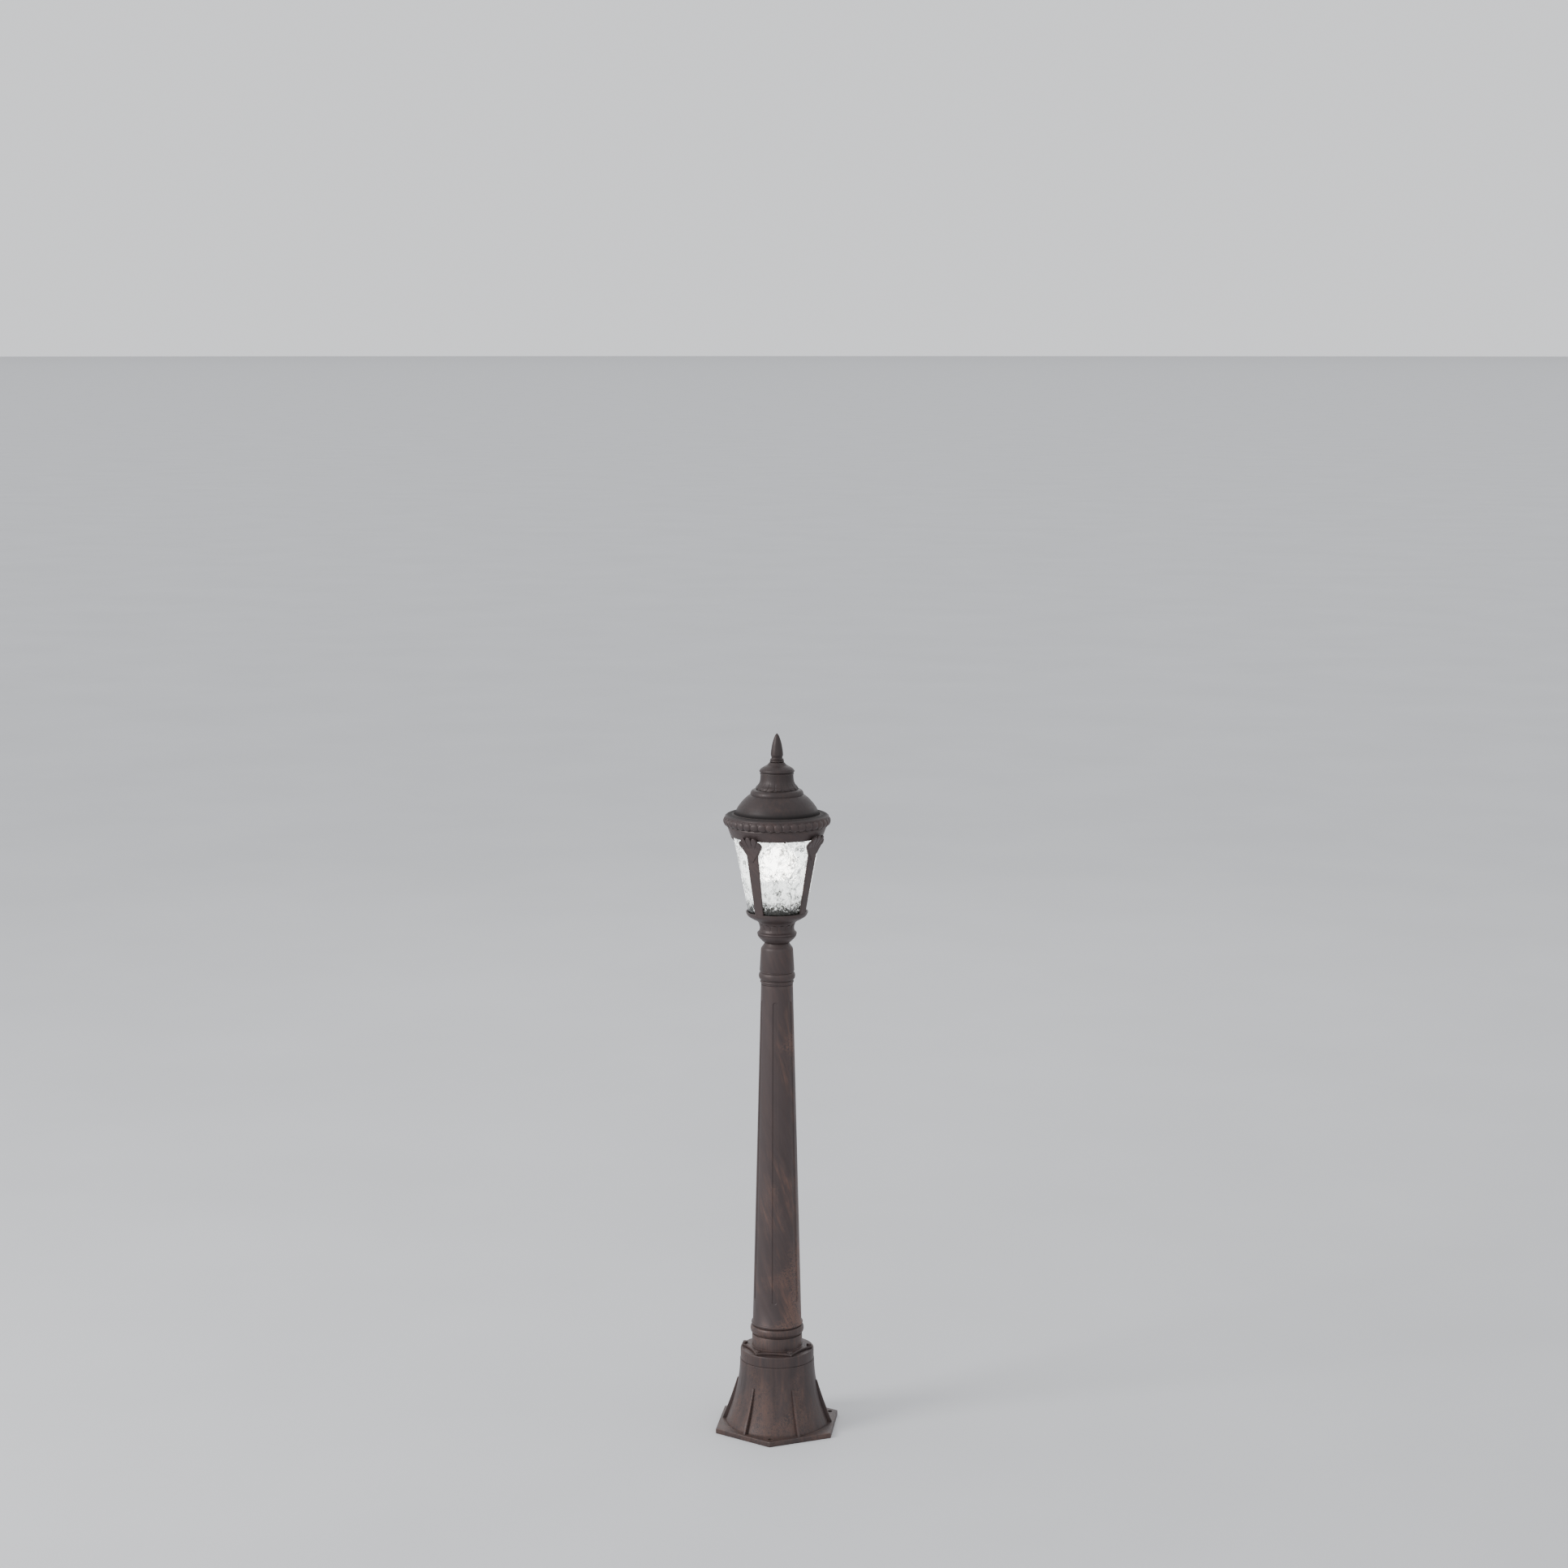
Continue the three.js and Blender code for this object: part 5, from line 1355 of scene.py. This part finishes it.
def softbox(name, place, aim, width, tall, power):
    """A rectangular area light, in metres and watts, turned to face a point."""
    light = bpy.data.lights.new(name, "AREA")
    light.shape, light.size, light.size_y = "RECTANGLE", width, tall
    light.energy = power
    obj = bpy.data.objects.new(name, light)
    bpy.context.scene.collection.objects.link(obj)
    way = np.array(aim) - np.array(place)
    flat = math.hypot(way[0], way[1])
    obj.location = place
    obj.rotation_euler = (math.atan2(flat, -way[2]), 0, math.atan2(-way[0], way[1]))


class LAMP_OT_stage(bpy.types.Operator):
    """Makes the floor, the lights, the backdrop's colour and the camera"""

    bl_idname = "lamp.stage"
    bl_label = "Stage"

    def execute(self, context):
        colours = context.scene.lamp_colours
        reach, thick = 400000.0, 20
        line = points([reach, -thick], [reach, 0])
        mesh = mesh_of("floor", [(closed_ends(turned(line, round_about(96))), False)])
        floor = bpy.data.objects.new("floor", mesh)
        context.scene.collection.objects.link(floor)
        look, tree, shader = new_finish("pale_floor")
        cloud = noise(tree, put(tree, "TexCoord", out=3), 1.5, 3.0)
        dull = tuple(part * 0.96 for part in colours.floor)
        mixed = blended(tree, ranged(tree, cloud, 0.35, 0.65), dull, colours.floor)
        tree.links.new(mixed, shader.inputs["Base Color"])
        shader.inputs["Roughness"].default_value = 0.9
        mesh.materials.append(look)
        world = bpy.data.worlds.new("studio")
        world.use_nodes = True
        sky = world.node_tree.nodes["Background"]
        sky.inputs["Color"].default_value = (0.70, 0.71, 0.73, 1.0)
        sky.inputs["Strength"].default_value = 1.5
        context.scene.world = world
        softbox("key_light", (-2.0, -3.9, 3.0), (0, 0, 0.6), 1.6, 2.2, 165.0)
        softbox("side_light", (3.9, -1.8, 2.2), (0, 0, 0.7), 0.7, 1.0, 4.0)
        softbox("back_light", (-2.5, 3.5, 3.2), (0, 0, 0.7), 2.5, 2.0, 25.0)
        camera = bpy.data.cameras.new("camera")
        camera.lens, camera.sensor_width = 70.0, 36.0
        camera.clip_end = 1000.0
        azimuth, away, eye = math.radians(36.75), 5.040, 1.845
        dip, swing = math.radians(8.25), math.radians(0.134)
        obj = bpy.data.objects.new("camera", camera)
        obj.location = (away * math.sin(azimuth), -away * math.cos(azimuth), eye)
        obj.rotation_euler = (math.radians(90) - dip, 0, azimuth - swing)
        context.scene.collection.objects.link(obj)
        context.scene.camera = obj
        return {"FINISHED"}


# --- Panel and run -------------------------------------------------------------------------

STEPS = (
    LAMP_OT_base,
    LAMP_OT_collar,
    LAMP_OT_post_foot,
    LAMP_OT_shaft,
    LAMP_OT_lantern_foot,
    LAMP_OT_glass,
    LAMP_OT_cage,
    LAMP_OT_roof,
    LAMP_OT_finial,
    LAMP_OT_bulb,
    LAMP_OT_fixings,
    LAMP_OT_stage,
)

GROUPS = {
    "lamp_base": LampBaseSizes,
    "lamp_shaft": LampShaftSizes,
    "lamp_lantern": LampLanternSizes,
    "lamp_colours": LampColours,
}


class LAMP_PT_pieces(bpy.types.Panel):
    """Lists the sizes, the colours and the steps that make the lamp post"""

    bl_idname = "LAMP_PT_pieces"
    bl_label = "Lamp Post"
    bl_space_type = "VIEW_3D"
    bl_region_type = "UI"
    bl_category = "Lamp Post"

    def draw(self, context):
        for key, group in GROUPS.items():
            box = self.layout.box()
            for name in group.__annotations__:
                box.prop(getattr(context.scene, key), name)
        for step in STEPS:
            self.layout.operator(step.bl_idname)


def register():
    """Registers the settings, the operators and the panel."""
    for group in (*GROUPS.values(), *STEPS, LAMP_PT_pieces):
        bpy.utils.register_class(group)
    for key, group in GROUPS.items():
        setattr(bpy.types.Scene, key, PointerProperty(type=group))


def unregister():
    """Takes away what register added, in the opposite order."""
    for key in GROUPS:
        delattr(bpy.types.Scene, key)
    for group in (LAMP_PT_pieces, *STEPS[::-1], *GROUPS.values()):
        bpy.utils.unregister_class(group)


def main():
    """Runs every step in order."""
    register()
    for step in STEPS:
        group, name = step.bl_idname.split(".")
        getattr(getattr(bpy.ops, group), name)()


if __name__ == "__main__":
    main()
